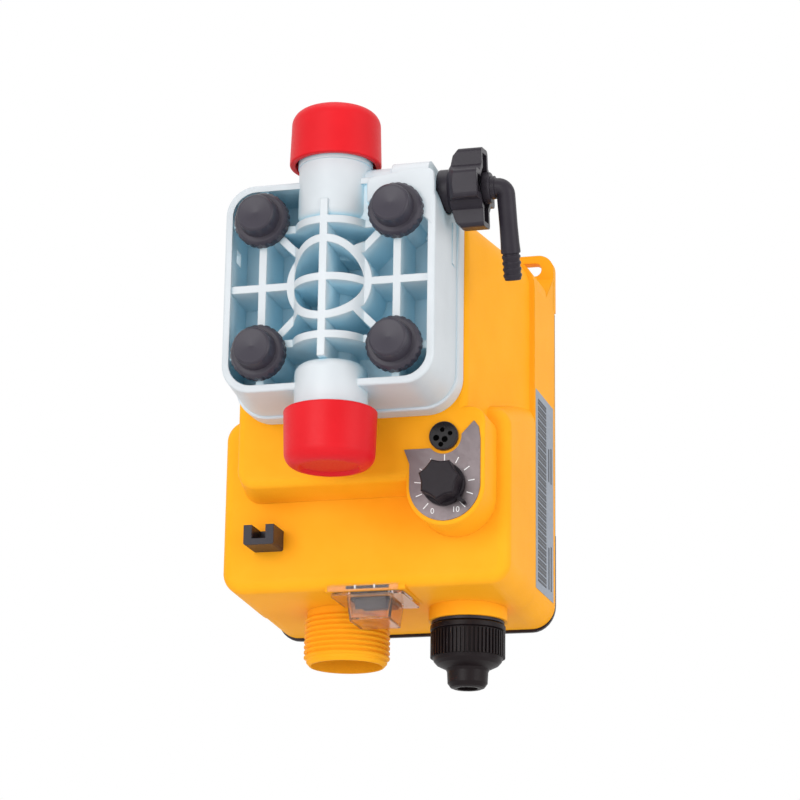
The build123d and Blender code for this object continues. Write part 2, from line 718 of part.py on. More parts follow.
def screw_cap(x, z):
    """Two-step cap: fluted ring below, smaller knob with a dished face in front."""
    seat = RIB_FRONT
    points = [
        (0, seat),
        (PLUG_RING_R - 0.6, seat),
        (PLUG_RING_R, seat + 0.8),
        (PLUG_RING_R, PLUG_RING_FRONT - 1.4),
        (PLUG_RING_R - 1.0, PLUG_RING_FRONT),
        (PLUG_KNOB_R, PLUG_RING_FRONT),
        (PLUG_FACE_R + 0.7, PLUG_FRONT - 0.7),
        (PLUG_FACE_R, PLUG_FRONT),
        (0, PLUG_FRONT - 0.9),
    ]
    profile = make_face(Plane.XY * Polyline(*[(r, -d) for r, d in points], close=True))
    cap = revolve(profile, Axis.Y)
    cutters = []
    for k in range(PLUG_FLUTES):
        turn = Rot(0, 360 / PLUG_FLUTES * k, 0)
        cutters.append(turn * Pos(PLUG_RING_R + 0.55, -(seat + 2), 0) * Rot(90, 0, 0) * Cylinder(0.9, 5))
    cap = cap - cutters
    cap += tube_y(SCREW_HEAD_R - 0.2, SCREW_HEAD_R - 1.2, seat - 0.5, seat)
    return Pos(x, 0, z) * cap


def valve_cap(side):
    """Red protective cap on a valve neck, open towards the head."""
    top = CAP_RIM + CAP_H
    shell = spun_z([(0, CAP_RIM), (CAP_R, CAP_RIM), (CAP_TOP_R, top), (0, top)], 0, VALVE_DEPTH)
    shell = fillet(shell.edges().sort_by(Axis.Z)[-1], CAP_ROUND)
    shell = fillet(shell.edges().sort_by(Axis.Z)[0], 0.6)
    shell -= rod_z(THREAD_R + CLEAR, CAP_RIM, NECK_END + CLEAR, 0, VALVE_DEPTH)
    shell -= spun_z([(0, top), (CAP_DISH_R, top), (CAP_DISH_R - 1, top - CAP_DISH), (0, top - CAP_DISH)],
                    0, VALVE_DEPTH)
    return shell if side > 0 else mirror(shell, Plane.XY)


# Valve cartridges. Flow runs upwards, so each ball rests on a seat below it.
def valve_parts(low):
    """Seat, ball, cage and O-ring of one valve, stacked upwards from its lower end."""
    seat_h = 4.0
    ball_r = 4.0
    hole_r = 2.8
    sink = ball_r - math.sqrt(ball_r ** 2 - hole_r ** 2)
    ring = o_ring(Pos(0, -VALVE_DEPTH, low + 1.0), BORE_R - 1.15, 2.0)
    seat_low = low + 2.0
    seat = tube_z(BORE_R - RUN, hole_r, seat_low, seat_low + seat_h, 0, VALVE_DEPTH)
    ball_z = seat_low + seat_h + ball_r - sink
    ball = Pos(0, -VALVE_DEPTH, ball_z) * Sphere(ball_r - 0.02)
    cage_low = seat_low + seat_h
    cage_high = low + BORE_DEEP - 4.0
    cage = tube_z(BORE_R - RUN, ball_r + 0.35, cage_low, cage_high, 0, VALVE_DEPTH)
    stop_z = ball_z + ball_r + BALL_LIFT + CLEAR
    cage += block(-BORE_R + 1, BORE_R - 1, VALVE_DEPTH - 1, VALVE_DEPTH + 1, stop_z, stop_z + 1.5)
    return {"seat": seat, "ball": ball, "cage": cage, "o_ring": ring}


BALL_LIFT = 1.5


# ---------------------------------------------------------------- bleed valve
def bleed_knob():
    """Lobed knob, hollow at its outer end, on a round hub."""
    hub = rod_x(HUB_R, KNOB_START, HUB_END + 1, ARM_DEPTH, ARM_Z)
    hub = fillet(hub.edges().filter_by(GeomType.CIRCLE).sort_by(Axis.X)[0], 0.8)
    core = rod_x(BLEED_R - 4.4, HUB_END, BLEED_END, ARM_DEPTH, ARM_Z)
    lobes = []
    for k in range(BLEED_LOBES):
        angle = BLEED_FIRST + 360 / BLEED_LOBES * k
        lobe = Pos((HUB_END + BLEED_END) / 2, 0, BLEED_R / 2) * Box(BLEED_END - HUB_END, BLEED_LOBE_W, BLEED_R)
        lobe = fillet(lobe.edges().filter_by(Axis.X).sort_by(Axis.Z)[-2:], 1.6)
        lobes.append(Pos(0, -ARM_DEPTH, ARM_Z) * Rot(angle, 0, 0) * lobe)
    knob = core + lobes
    # The inner ends of the lobes slope towards the hub.
    slope = BLEED_R - HUB_R
    cone_points = [(0, HUB_END - 4), (HUB_R + 0.4, HUB_END - 4), (HUB_R + 0.4, HUB_END),
                   (HUB_R + slope * 0.3, HUB_END + 1.0), (HUB_R + slope * 0.75, HUB_END + 1.8),
                   (BLEED_R + 0.4, HUB_END + 3.6), (BLEED_R + 0.4, BLEED_END), (0, BLEED_END)]
    cone = make_face(Plane.XY * Polyline(*[(x, r) for r, x in cone_points], close=True))
    cone = Pos(0, -ARM_DEPTH, ARM_Z) * revolve(cone, Axis.X)
    knob = (knob & cone) + hub
    knob -= rod_x(BLEED_R - 6.2, BLEED_END - 5.5, BLEED_END, ARM_DEPTH, ARM_Z)
    recesses = []
    for k in range(BLEED_LOBES):
        angle = BLEED_FIRST + 360 / BLEED_LOBES * k
        recess = Pos(BLEED_END - 2, 0, BLEED_R / 2) * Box(4.0, BLEED_LOBE_W - 3.6, BLEED_R - 3.6)
        recesses.append(Pos(0, -ARM_DEPTH, ARM_Z) * Rot(angle, 0, 0) * recess)
    knob = knob - recesses
    knob -= rod_x(NEEDLE_R, KNOB_START, BLEED_END - 5.5, ARM_DEPTH, ARM_Z)
    return knob


def bleed_needle():
    stem = rod_x(NEEDLE_R, 16.0, BLEED_END - 5.5, ARM_DEPTH, ARM_Z)
    tip = Pos(14.6, -ARM_DEPTH, ARM_Z) * Rot(0, -90, 0) * Cone(NEEDLE_R, 1.1, 2.8)
    groove = rod_x(NEEDLE_R, 24.0, 26.2, ARM_DEPTH, ARM_Z) - rod_x(NEEDLE_R - 1.4, 24.0, 26.2, ARM_DEPTH, ARM_Z)
    return stem + tip - groove - rod_x(ELBOW_BORE, 18.0, BLEED_END - 5.5, ARM_DEPTH, ARM_Z)


def bleed_o_ring():
    ring_plane = Pos(25.1, -ARM_DEPTH, ARM_Z) * Rot(0, 90, 0)
    return o_ring(ring_plane, NEEDLE_R - 0.65, 1.3)


def barb_profile(length):
    """Half outline of the barbed leg, as (radius, distance from the bend)."""
    start = length - BARB_COUNT * BARB_PITCH - 0.6
    points = [(0, 0), (ELBOW_R, 0), (ELBOW_R + 0.25, start - 0.8), (ELBOW_R + 0.25, start), (ELBOW_R - 0.6, start)]
    for k in range(BARB_COUNT):
        low = start + k * BARB_PITCH
        points.append((ELBOW_R - 0.7, low + 0.5))
        points.append((BARB_R, low + 0.8))
        points.append((BARB_R - 0.1, low + 1.5))
        points.append((ELBOW_R - 0.7, low + BARB_PITCH))
    points += [(ELBOW_R - 0.5, length - 0.5), (ELBOW_R - 1.0, length), (0, length)]
    return points


def bleed_elbow():
    """Barbed hose elbow that swivels on the end of the bleed valve."""
    stub = rod_x(STUB_R, BLEED_END - 0.6, STUB_END - 1.6, ARM_DEPTH, ARM_Z)
    stub += rod_x(STUB_R - 1.3, BLEED_END - 4.5, STUB_END, ARM_DEPTH, ARM_Z)
    run = rod_x(ELBOW_R + 0.3, STUB_END - 0.2, ELBOW_X, ARM_DEPTH, ARM_Z)
    bend = Pos(ELBOW_X, -ARM_DEPTH, ARM_Z) * Sphere(ELBOW_R + 0.3)
    points = [(r, -s) for r, s in barb_profile(ELBOW_LEG)]
    leg = revolve(make_face(Plane.XZ * Polyline(*points, close=True)), Axis.Z)
    leg -= Pos(0, 0, -ELBOW_LEG / 2) * Cylinder(ELBOW_BORE, ELBOW_LEG)
    tab = Pos(STUB_END - 2.6 - ELBOW_X, 0, -STUB_R - 0.9) * Box(1.6, 2.2, 2.4)
    turned = Pos(ELBOW_X, -ARM_DEPTH, ARM_Z) * Rot(ELBOW_BACK, 0, 0)
    bore = rod_x(ELBOW_BORE, BLEED_END - 4.5, ELBOW_X, ARM_DEPTH, ARM_Z)
    return stub + run + bend + turned * leg + turned * tab - bore


# ---------------------------------------------------------------- controls
def panel_outline():
    """Scale plate: round below, a horn beside the socket and a tip on the left."""
    left = BOSS_X - PANEL_R
    right = BOSS_X + PANEL_R
    top = SOCKET_Z - SOCKET_R + 1.0
    body = Pos(BOSS_X, DOSE_Z) * Circle(PANEL_R)
    body += Pos(BOSS_X, (DOSE_Z + top) / 2) * Rectangle(2 * PANEL_R, top - DOSE_Z)
    tip = make_face(Polyline((left - 1.9, top), (left + 2, top), (left + 2, top - 8), (left, top - 5), close=True))
    horn = make_face(
        Polyline((right - 8, top), (right - 6.2, SOCKET_Z + 0.6), (right - 2.1, -41.3), (right - 0.5, -43.5),
                 (right, -47.5), (right, top), close=True)
    )
    hole = Pos(SOCKET_X, SOCKET_Z) * Circle(SOCKET_R + 1.1)
    return body + tip + horn - hole - Pos(BOSS_X, DOSE_Z) * Circle(SHAFT_R + 1 + RUN)


def control_panel():
    return extrude(at_depth(TOWER_DEPTH) * panel_outline(), PANEL_T)


def dose_knob():
    back = TOWER_DEPTH + PANEL_T + CLEAR
    front = back + DOSE_H
    skirt = rod_y(DOSE_R + 0.4, back, back + 1.6)
    body = Pos(0, -(back + front) / 2, 0) * Rot(90, 0, 0) * Cone(DOSE_R, DOSE_R - 0.6, front - back)
    body = fillet(body.edges().filter_by(GeomType.CIRCLE).sort_by(Axis.Y)[0], 0.7)
    cutters = []
    for k in range(DOSE_FLUTES):
        angle = 360 / DOSE_FLUTES * (k + 0.5)
        turn = Rot(0, angle, 0)
        cutters.append(turn * Pos(DOSE_R + 2.0, -(back + 1.6 + DOSE_H / 2), 0) * Rot(90, 0, 0) * Cylinder(3.0, DOSE_H))
    knob = body - cutters + skirt
    pointer = Pos(DOSE_R - 1.2, -(back + front) / 2 + 0.6, 0) * Box(5.2, DOSE_H - 1.2, 2.2)
    knob += pointer
    knob -= rod_y(6.4, back, back + 2.6)
    knob -= rod_y(SHAFT_R, back, front - 1.6)
    return Pos(BOSS_X, 0, DOSE_Z) * Rot(0, DOSE_MAX_DEG, 0) * knob


def pot_shaft():
    back = TOWER_DEPTH - 1.0
    return rod_y(SHAFT_R, back, TOWER_DEPTH + PANEL_T + CLEAR + DOSE_H - 1.6, BOSS_X, DOSE_Z)


def dose_potentiometer():
    """Potentiometer can behind the boss wall, with its threaded bushing through it."""
    wall_back = TOWER_DEPTH - WALL
    can = rod_y(POT_R, wall_back - POT_DEEP, wall_back, BOSS_X, DOSE_Z)
    can += rod_y(SHAFT_R + 1, wall_back, TOWER_DEPTH + PANEL_T + 2.2, BOSS_X, DOSE_Z)
    can -= rod_y(SHAFT_R + RUN, wall_back - 1.2, TOWER_DEPTH + PANEL_T + 2.2, BOSS_X, DOSE_Z)
    return can


def pot_nut():
    back = TOWER_DEPTH + PANEL_T
    outline = RegularPolygon(5.2, 6) - Circle(SHAFT_R + 1)
    return extrude(at_depth(back) * Pos(BOSS_X, DOSE_Z) * outline, 1.8)


def signal_socket():
    """Round female socket with a keyed insert and four pin holes."""
    wall_back = TOWER_DEPTH - WALL
    body = rod_y(SOCKET_R, TOWER_DEPTH, TOWER_DEPTH + 1.6, SOCKET_X, SOCKET_Z)
    body = fillet(body.edges().filter_by(GeomType.CIRCLE).sort_by(Axis.Y)[0], 0.4)
    body += rod_y(SOCKET_R - 0.7, wall_back - 7, TOWER_DEPTH, SOCKET_X, SOCKET_Z)
    body -= tube_y(SOCKET_R - 1.1, SOCKET_R - 1.9, TOWER_DEPTH - 3, TOWER_DEPTH + 1.6, SOCKET_X, SOCKET_Z)
    for k in range(4):
        angle = math.radians(45 + 90 * k)
        x = SOCKET_X + 1.6 * math.cos(angle)
        z = SOCKET_Z + 1.6 * math.sin(angle)
        body -= rod_y(0.55, TOWER_DEPTH - 4, TOWER_DEPTH + 1.6, x, z)
    body -= block(SOCKET_X - 0.6, SOCKET_X + 0.6, TOWER_DEPTH - 2, TOWER_DEPTH + 1.6, SOCKET_Z + 1.9, SOCKET_Z + 3.2)
    return body


def socket_nut():
    front = TOWER_DEPTH - WALL
    outline = RegularPolygon(6.4, 6) - Circle(SOCKET_R - 0.7)
    return extrude(at_depth(front - 2.4) * Pos(SOCKET_X, SOCKET_Z) * outline, 2.4)


def control_board():
    front = TOWER_DEPTH - WALL - POT_DEEP
    half = CONTROL_BOARD_W / 2
    return block(BOSS_X - half, BOSS_X + half, front - BOARD_T, front, DOSE_Z - 5, SOCKET_Z + 6)


# ---------------------------------------------------------------- clip and switch
def clip_shank(gap):
    return block(CLIP_X - 3.0 - gap, CLIP_X + 3.0 + gap, LOWER_DEPTH - WALL - 2, LOWER_DEPTH + 0.5,
                 (CLIP_TOP + CLIP_LOW) / 2 - 2.0 - gap, (CLIP_TOP + CLIP_LOW) / 2 + 2.0 + gap)


def cable_clip():
    """U-shaped clip, open above, pushed into a hole in the casing."""
    half = CLIP_W / 2
    clip = block(CLIP_X - half, CLIP_X + half, LOWER_DEPTH, CLIP_FRONT, CLIP_LOW, CLIP_TOP)
    clip = fillet(clip.edges().filter_by(Axis.Y).sort_by(Axis.Z)[:2], 0.8)
    clip -= block(CLIP_X - half + CLIP_ARM, CLIP_X + half - CLIP_ARM, LOWER_DEPTH + 1.6, CLIP_FRONT + 1,
                  CLIP_LOW + CLIP_FLOOR, CLIP_TOP + 1)
    return clip + clip_shank(-RUN)


def switch_cover():
    """Clear splash cover over the rocker: a flange and a hollow tapered dome."""
    top = SWITCH_PAD
    flange = Pos(SWITCH_X, -SWITCH_DEPTH) * RectangleRounded(COVER_W, COVER_D, 2.5)
    cover = Pos(0, 0, top - COVER_FLANGE_T) * extrude(flange, COVER_FLANGE_T)
    root = Plane(origin=(SWITCH_X, -SWITCH_DEPTH, top), z_dir=(0, 0, -1), x_dir=(1, 0, 0))
    dome = extrude(root * RectangleRounded(DOME_W, DOME_D, 3.2), top - DOME_LOW, taper=DOME_TAPER)
    hollow = extrude(root * RectangleRounded(DOME_W - 2 * DOME_WALL, DOME_D - 2 * DOME_WALL, 1.6),
                     top - DOME_LOW - DOME_WALL, taper=DOME_TAPER)
    relief = rod_z(PORT_R + CLEAR, DOME_LOW - 1, top + 1, PORT_X, PORT_DEPTH)
    return cover + dome - hollow - relief


def switch_frame():
    top = SWITCH_PAD
    inside = underside(SWITCH_DEPTH) + WALL + 12
    bezel = block(SWITCH_X - FRAME_W / 2 + 0.2, SWITCH_X + FRAME_W / 2 - 0.2, SWITCH_DEPTH - FRAME_D / 2 + 0.2,
                  SWITCH_DEPTH + FRAME_D / 2 - 0.2, top - 1.6, top)
    bezel = fillet(bezel.edges().filter_by(Axis.Z), 1.6)
    can = block(SWITCH_X - HOLE_W / 2 + RUN, SWITCH_X + HOLE_W / 2 - RUN, SWITCH_DEPTH - HOLE_D / 2 + RUN,
                SWITCH_DEPTH + HOLE_D / 2 - RUN, top, inside)
    well = block(SWITCH_X - ROCKER_W / 2 - CLEAR, SWITCH_X + ROCKER_W / 2 + CLEAR,
                 SWITCH_DEPTH - ROCKER_D / 2 - 2 * CLEAR, SWITCH_DEPTH + ROCKER_D / 2 + 2 * CLEAR, top - 1.6, top + 8)
    frame = bezel + can - well
    frame += rod_x(1.4, SWITCH_X - ROCKER_W / 2 - CLEAR, SWITCH_X + ROCKER_W / 2 + CLEAR, SWITCH_DEPTH, top + 3)
    return frame


def rocker():
    """Rocker with a shallow V face, stored tipped to its on side."""
    top = SWITCH_PAD
    outline = Polyline((-ROCKER_D / 2, 0.8), (0.5 - ROCKER_D / 2, -3.6), (0, -2.2), (ROCKER_D / 2 - 0.5, -3.6),
                       (ROCKER_D / 2, 0.8), (3.2, 5.6), (-3.2, 5.6), close=True)
    face = make_face(Plane.YZ.offset(-ROCKER_W / 2) * outline)
    key = extrude(face, ROCKER_W) - Rot(0, 90, 0) * Pos(-3, 0, 0) * Cylinder(1.4 + RUN, ROCKER_W)
    pivot = Pos(0, 0, 3)
    return Pos(SWITCH_X, -SWITCH_DEPTH, top) * pivot * Rot(ROCKER_TILT, 0, 0) * pivot.inverse() * key


# ---------------------------------------------------------------- cable gland
def gland_body():
    low = GLAND_SHOULDER + 4
    inside = underside(GLAND_DEPTH) + WALL + 6
    body = rod_z(GLAND_BODY_R, low, inside, GLAND_X, GLAND_DEPTH)
    body += rod_z(GLAND_R - 0.4, GLAND_BOSS_LOW - 1.0, GLAND_BOSS_LOW, GLAND_X, GLAND_DEPTH)
    return body - rod_z(GLAND_BODY_R - 2.0, low, inside, GLAND_X, GLAND_DEPTH)


def gland_locknut():
    low = underside(GLAND_DEPTH + GLAND_R) + WALL + 0.2
    return hexagon_z(2 * GLAND_BODY_R + 5, GLAND_BODY_R, low, low + 3.5, GLAND_X, GLAND_DEPTH)


def gland_seal():
    low = GLAND_SHOULDER + 2.2
    return tube_z(GLAND_BODY_R - 2.0 - RUN, CABLE_R, low, low + 10, GLAND_X, GLAND_DEPTH)


def gland_nut():
    """Dome nut: beaded rim, ribbed grip, rounded shoulder and a snout for the cable."""
    top = GLAND_BOSS_LOW - 1.0 - CLEAR
    points = [
        (0, top),
        (GLAND_R - 0.3, top),
        (GLAND_R, top - 0.4),
        (GLAND_R, top - 1.9),
        (GLAND_R - 0.7, top - 2.3),
        (GLAND_R - 0.9, GLAND_SHOULDER + 3.0),
        (GLAND_R - 1.3, GLAND_SHOULDER + 1.7),
        (GLAND_R - 2.3, GLAND_SHOULDER + 0.6),
        (GLAND_R - 3.9, GLAND_SHOULDER - 0.2),
        (GLAND_SNOUT_R + 0.5, GLAND_SHOULDER - 0.9),
        (GLAND_SNOUT_R, GLAND_SHOULDER - 1.9),
        (GLAND_SNOUT_R - 0.2, GLAND_END + 1.8),
        (GLAND_SNOUT_R - 1.2, GLAND_END + 0.4),
        (GLAND_SNOUT_R - 2.2, GLAND_END),
        (0, GLAND_END),
    ]
    nut = spun_z(points, GLAND_X, GLAND_DEPTH)
    grip_top = top - 2.6
    grip_low = GLAND_SHOULDER + 3.0
    ribs = []
    for k in range(GLAND_RIBS):
        angle = math.radians(360 / GLAND_RIBS * k)
        place = Pos(GLAND_X + (GLAND_R - 0.75) * math.cos(angle), -GLAND_DEPTH + (GLAND_R - 0.75) * math.sin(angle),
                    (grip_top + grip_low) / 2)
        ribs.append(place * Rot(0, 0, math.degrees(angle)) * Box(1.3, 0.7, grip_top - grip_low))
    nut = nut + ribs
    nut -= rod_z(GLAND_BODY_R + RUN, GLAND_SHOULDER + 1.8, top, GLAND_X, GLAND_DEPTH)
    return nut - rod_z(CABLE_R, GLAND_END, top, GLAND_X, GLAND_DEPTH)


# ---------------------------------------------------------------- solenoid drive
def yoke_front():
    return TOWER_DEPTH - YOKE_T


def coil_front():
    return yoke_front() - YOKE_T


def coil_back():
    return coil_front() - COIL_LEN


def pole_back():
    return coil_front() - POLE_LEN


def armature_front():
    return pole_back() - AIR_GAP


def armature_back():
    return armature_front() - ARMATURE_LEN


def solenoid_yoke():
    """Bent steel frame: front and back plates joined above and below the coil."""
    half = COIL_R + 1.0 + YOKE_T
    frame = block(-YOKE_HALF_W, YOKE_HALF_W, coil_back() - YOKE_T, yoke_front(), -half, half)
    frame -= block(-YOKE_HALF_W - 1, YOKE_HALF_W + 1, coil_back(), coil_front(), -half + YOKE_T, half - YOKE_T)
    frame -= rod_y(BUSH_R, coil_front(), yoke_front())
    for x, z in yoke_screw_places():
        frame -= rod_y(1.6, coil_front(), yoke_front(), x, z)
    return frame


def solenoid_coil():
    """Bobbin flanges with the winding between them."""
    coil = rod_y(COIL_R - 1.5, coil_back(), coil_front())
    coil += rod_y(COIL_R, coil_back(), coil_back() + 2)
    coil += rod_y(COIL_R, coil_front() - 2, coil_front())
    return coil - rod_y(ARMATURE_R + 2 * RUN, coil_back(), coil_front())


def pole_core():
    core = rod_y(ARMATURE_R + RUN, pole_back(), coil_front())
    return core - rod_y(BUSH_R, pole_back(), coil_front())


def guide_bush():
    return tube_y(BUSH_R, ROD_R + RUN, pole_back() + 6, yoke_front() + 2)


def armature():
    """Plunger with a pocket for the return spring."""
    plunger = rod_y(ARMATURE_R, armature_back(), armature_front())
    plunger -= tube_y(7.2, ROD_R, armature_front() - 8, armature_front())
    return plunger - rod_y(ROD_R, armature_front() - 12, armature_front())


def push_rod():
    return rod_y(ROD_R, armature_front() - 12, diaphragm_back() - 2.4) + rod_y(2.5, diaphragm_back() - 2.4,
                                                                               diaphragm_back())


def diaphragm_support():
    front = diaphragm_back()
    return tube_y(12.0, 2.5, front - 2.4, front)


def return_spring():
    """Compression spring between the armature pocket and the pole."""
    wire = 0.9
    low = armature_front() - 8 + wire / 2 + 0.1
    high = pole_back() - wire / 2 - 0.1
    radius = 6.0
    path = Helix(pitch=(high - low) / 3, height=high - low, radius=radius)
    section = Plane(origin=path @ 0, z_dir=path % 0) * Rectangle(wire, wire)
    coil = sweep(section, path=path)
    return Pos(0, -low, 0) * Rot(90, 0, 0) * coil


def stop_bumper():
    return rod_y(8.0, coil_back(), armature_back())


def yoke_screws():
    solids = []
    for x, z in yoke_screw_places():
        screw = rod_y(3.0, TOWER_DEPTH - 2.2, TOWER_DEPTH - 0.3, x, z)
        screw += rod_y(1.6, coil_front() + 0.5, TOWER_DEPTH - 2.2, x, z)
        solids.append(screw)
    return Part() + solids


# ---------------------------------------------------------------- electronics
def board_posts():
    x = BOARD_HALF_W - 5
    return [(-x, BOARD_LOW + 5), (x - 22, BOARD_LOW + 5), (-x, BOARD_TOP - 5), (x, BOARD_TOP - 5)]


def circuit_board():
    board = block(-BOARD_HALF_W, BOARD_HALF_W, BOARD_DEPTH, BOARD_DEPTH + BOARD_T, BOARD_LOW, BOARD_TOP)
    for x, z in board_posts():
        board -= rod_y(1.6, BOARD_DEPTH, BOARD_DEPTH + BOARD_T, x, z)
    return board


def board_screws():
    front = BOARD_DEPTH + BOARD_T
    solids = []
    for x, z in board_posts():
        solids.append(rod_y(2.8, front, front + 1.8, x, z) + rod_y(1.2, BOARD_DEPTH - 7, front, x, z))
    return Part() + solids


def capacitor():
    front = BOARD_DEPTH + BOARD_T
    can = rod_y(6.5, front, front + 22, -18.0, -50.0)
    return fillet(can.edges().filter_by(GeomType.CIRCLE).sort_by(Axis.Y)[0], 0.8)


def terminal_block():
    front = BOARD_DEPTH + BOARD_T
    body = block(0, 20, front, front + 9, -62, -52)
    for k in range(4):
        body -= rod_y(1.5, front + 5, front + 9, 2.5 + 5 * k, -57)
    return body


# ---------------------------------------------------------------- write the parts
def main():
    save("housing", housing())
    save("rear_cover", rear_cover())
    save("rear_gasket", rear_gasket())
    save("rear_cover_screws", rear_cover_screws())
    save("pump_head", pump_head())
    save("head_backplate", head_backplate())
    save("diaphragm", diaphragm())
    save("head_screws", head_screws())
    places = {"top_left": (-1, 1), "top_right": (1, 1), "bottom_left": (-1, -1), "bottom_right": (1, -1)}
    for where, (sx, sz) in places.items():
        save(f"screw_cap_{where}", screw_cap(sx * SCREW_X, sz * SCREW_X))
    save("discharge_cap", valve_cap(1))
    save("suction_cap", valve_cap(-1))
    for valve, low in (("discharge", NECK_END - BORE_DEEP), ("suction", -NECK_END)):
        for piece, shape in valve_parts(low).items():
            save(f"{valve}_{piece}", shape)
    save("bleed_knob", bleed_knob())
    save("bleed_needle", bleed_needle())
    save("bleed_o_ring", bleed_o_ring())
    save("bleed_elbow", bleed_elbow())
    save("control_panel", control_panel())
    save("dose_knob", dose_knob())
    save("pot_shaft", pot_shaft())
    save("dose_potentiometer", dose_potentiometer())
    save("pot_nut", pot_nut())
    save("signal_socket", signal_socket())
    save("socket_nut", socket_nut())
    save("control_board", control_board())
    save("cable_clip", cable_clip())
    save("switch_cover", switch_cover())
    save("switch_frame", switch_frame())
    save("rocker", rocker())
    save("gland_body", gland_body())
    save("gland_locknut", gland_locknut())
    save("gland_seal", gland_seal())
    save("gland_nut", gland_nut())
    save("solenoid_yoke", solenoid_yoke())
    save("solenoid_coil", solenoid_coil())
    save("pole_core", pole_core())
    save("guide_bush", guide_bush())
    save("armature", armature())
    save("push_rod", push_rod())
    save("diaphragm_support", diaphragm_support())
    save("return_spring", return_spring())
    save("stop_bumper", stop_bumper())
    save("yoke_screws", yoke_screws())
    save("circuit_board", circuit_board())
    save("board_screws", board_screws())
    save("capacitor", capacitor())
    save("terminal_block", terminal_block())


main()
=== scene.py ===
import json
import math

import bmesh
import bpy
from mathutils import Matrix, Vector


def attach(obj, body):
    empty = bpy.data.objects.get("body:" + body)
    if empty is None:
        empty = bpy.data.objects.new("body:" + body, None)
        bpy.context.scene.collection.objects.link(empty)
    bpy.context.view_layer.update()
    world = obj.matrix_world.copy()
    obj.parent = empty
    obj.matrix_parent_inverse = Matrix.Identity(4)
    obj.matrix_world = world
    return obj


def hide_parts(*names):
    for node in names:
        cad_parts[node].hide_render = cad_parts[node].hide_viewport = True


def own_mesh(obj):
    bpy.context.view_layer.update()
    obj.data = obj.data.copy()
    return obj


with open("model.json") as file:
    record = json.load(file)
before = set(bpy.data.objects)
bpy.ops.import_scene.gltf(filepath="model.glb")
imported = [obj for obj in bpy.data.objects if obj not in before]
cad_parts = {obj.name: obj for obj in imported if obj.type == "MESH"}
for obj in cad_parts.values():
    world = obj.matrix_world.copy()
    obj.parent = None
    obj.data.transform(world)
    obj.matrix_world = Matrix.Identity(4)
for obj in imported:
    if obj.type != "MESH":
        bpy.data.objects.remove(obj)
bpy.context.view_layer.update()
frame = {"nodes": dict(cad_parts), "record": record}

MM = 0.001


# ---------------------------------------------------------------- materials
def mix_colour(nt, factor, low, high):
    """Colour between low and high by a 0 to 1 factor socket."""
    node = nt.nodes.new("ShaderNodeMix")
    node.data_type = "RGBA"
    nt.links.new(factor, node.inputs["Factor"])
    for key, value in (("A", low), ("B", high)):
        socket = [s for s in node.inputs if s.name == key and s.type == "RGBA"][0]
        if isinstance(value, tuple):
            socket.default_value = (*value, 1.0)
        else:
            nt.links.new(value, socket)
    return [s for s in node.outputs if s.type == "RGBA"][0]


def ramp(nt, source, low, high, out_low, out_high):
    """Value that runs from out_low to out_high as the source runs from low to high."""
    node = nt.nodes.new("ShaderNodeMapRange")
    node.inputs["From Min"].default_value = low
    node.inputs["From Max"].default_value = high
    node.inputs["To Min"].default_value = out_low
    node.inputs["To Max"].default_value = out_high
    nt.links.new(source, node.inputs["Value"])
    return node.outputs["Result"]


def noise(nt, coords, scale, detail=3.0, rough=0.55):
    node = nt.nodes.new("ShaderNodeTexNoise")
    node.inputs["Scale"].default_value = scale
    node.inputs["Detail"].default_value = detail
    node.inputs["Roughness"].default_value = rough
    nt.links.new(coords, node.inputs["Vector"])
    return node.outputs["Fac"]


def new_material(name):
    mat = bpy.data.materials.new(name)
    mat.use_nodes = True
    nt = mat.node_tree
    bsdf = nt.nodes["Principled BSDF"]
    coords = nt.nodes.new("ShaderNodeTexCoord").outputs["Object"]
    return mat, nt, bsdf, coords


def surface(name, low, high, rough=(0.4, 0.5), grain=2500.0, grain_depth=0.15, metallic=0.0,
            edge=0.35, painted_hollow_shade=None, hollow_shade_reach=9.0, **fixed):
    """Moulded or metal surface: two-tone noise colour, varying roughness, fine grain, soft edges, and
    optional painted shade in hollows.
    """
    mat, nt, bsdf, coords = new_material(name)
    broad = noise(nt, coords, 45.0)
    fine = noise(nt, coords, grain, 2.0)
    colour = mix_colour(nt, ramp(nt, broad, 0.35, 0.65, 0.0, 1.0), low, high)
    # Painted shade: where ambient occlusion finds a hollow, the colour is pulled towards the given shade
    # colour.
    if painted_hollow_shade:
        ao = nt.nodes.new("ShaderNodeAmbientOcclusion")
        ao.inputs["Distance"].default_value = hollow_shade_reach * MM
        ao.samples = 8
        depth = ramp(nt, ao.outputs["AO"], painted_hollow_shade[1], painted_hollow_shade[2], 0.0, 1.0)
        colour = mix_colour(nt, depth, painted_hollow_shade[0], colour)
    nt.links.new(colour, bsdf.inputs["Base Color"])
    nt.links.new(ramp(nt, fine, 0.3, 0.7, *rough), bsdf.inputs["Roughness"])
    bump = nt.nodes.new("ShaderNodeBump")
    bump.inputs["Strength"].default_value = grain_depth
    bump.inputs["Distance"].default_value = 0.05 * MM
    nt.links.new(fine, bump.inputs["Height"])
    if edge:
        bevel = nt.nodes.new("ShaderNodeBevel")
        bevel.samples = 4
        bevel.inputs["Radius"].default_value = edge * MM
        nt.links.new(bevel.outputs["Normal"], bump.inputs["Normal"])
    nt.links.new(bump.outputs["Normal"], bsdf.inputs["Normal"])
    bsdf.inputs["Metallic"].default_value = metallic
    for key, value in fixed.items():
        bsdf.inputs[key.replace("_", " ")].default_value = value
    return mat


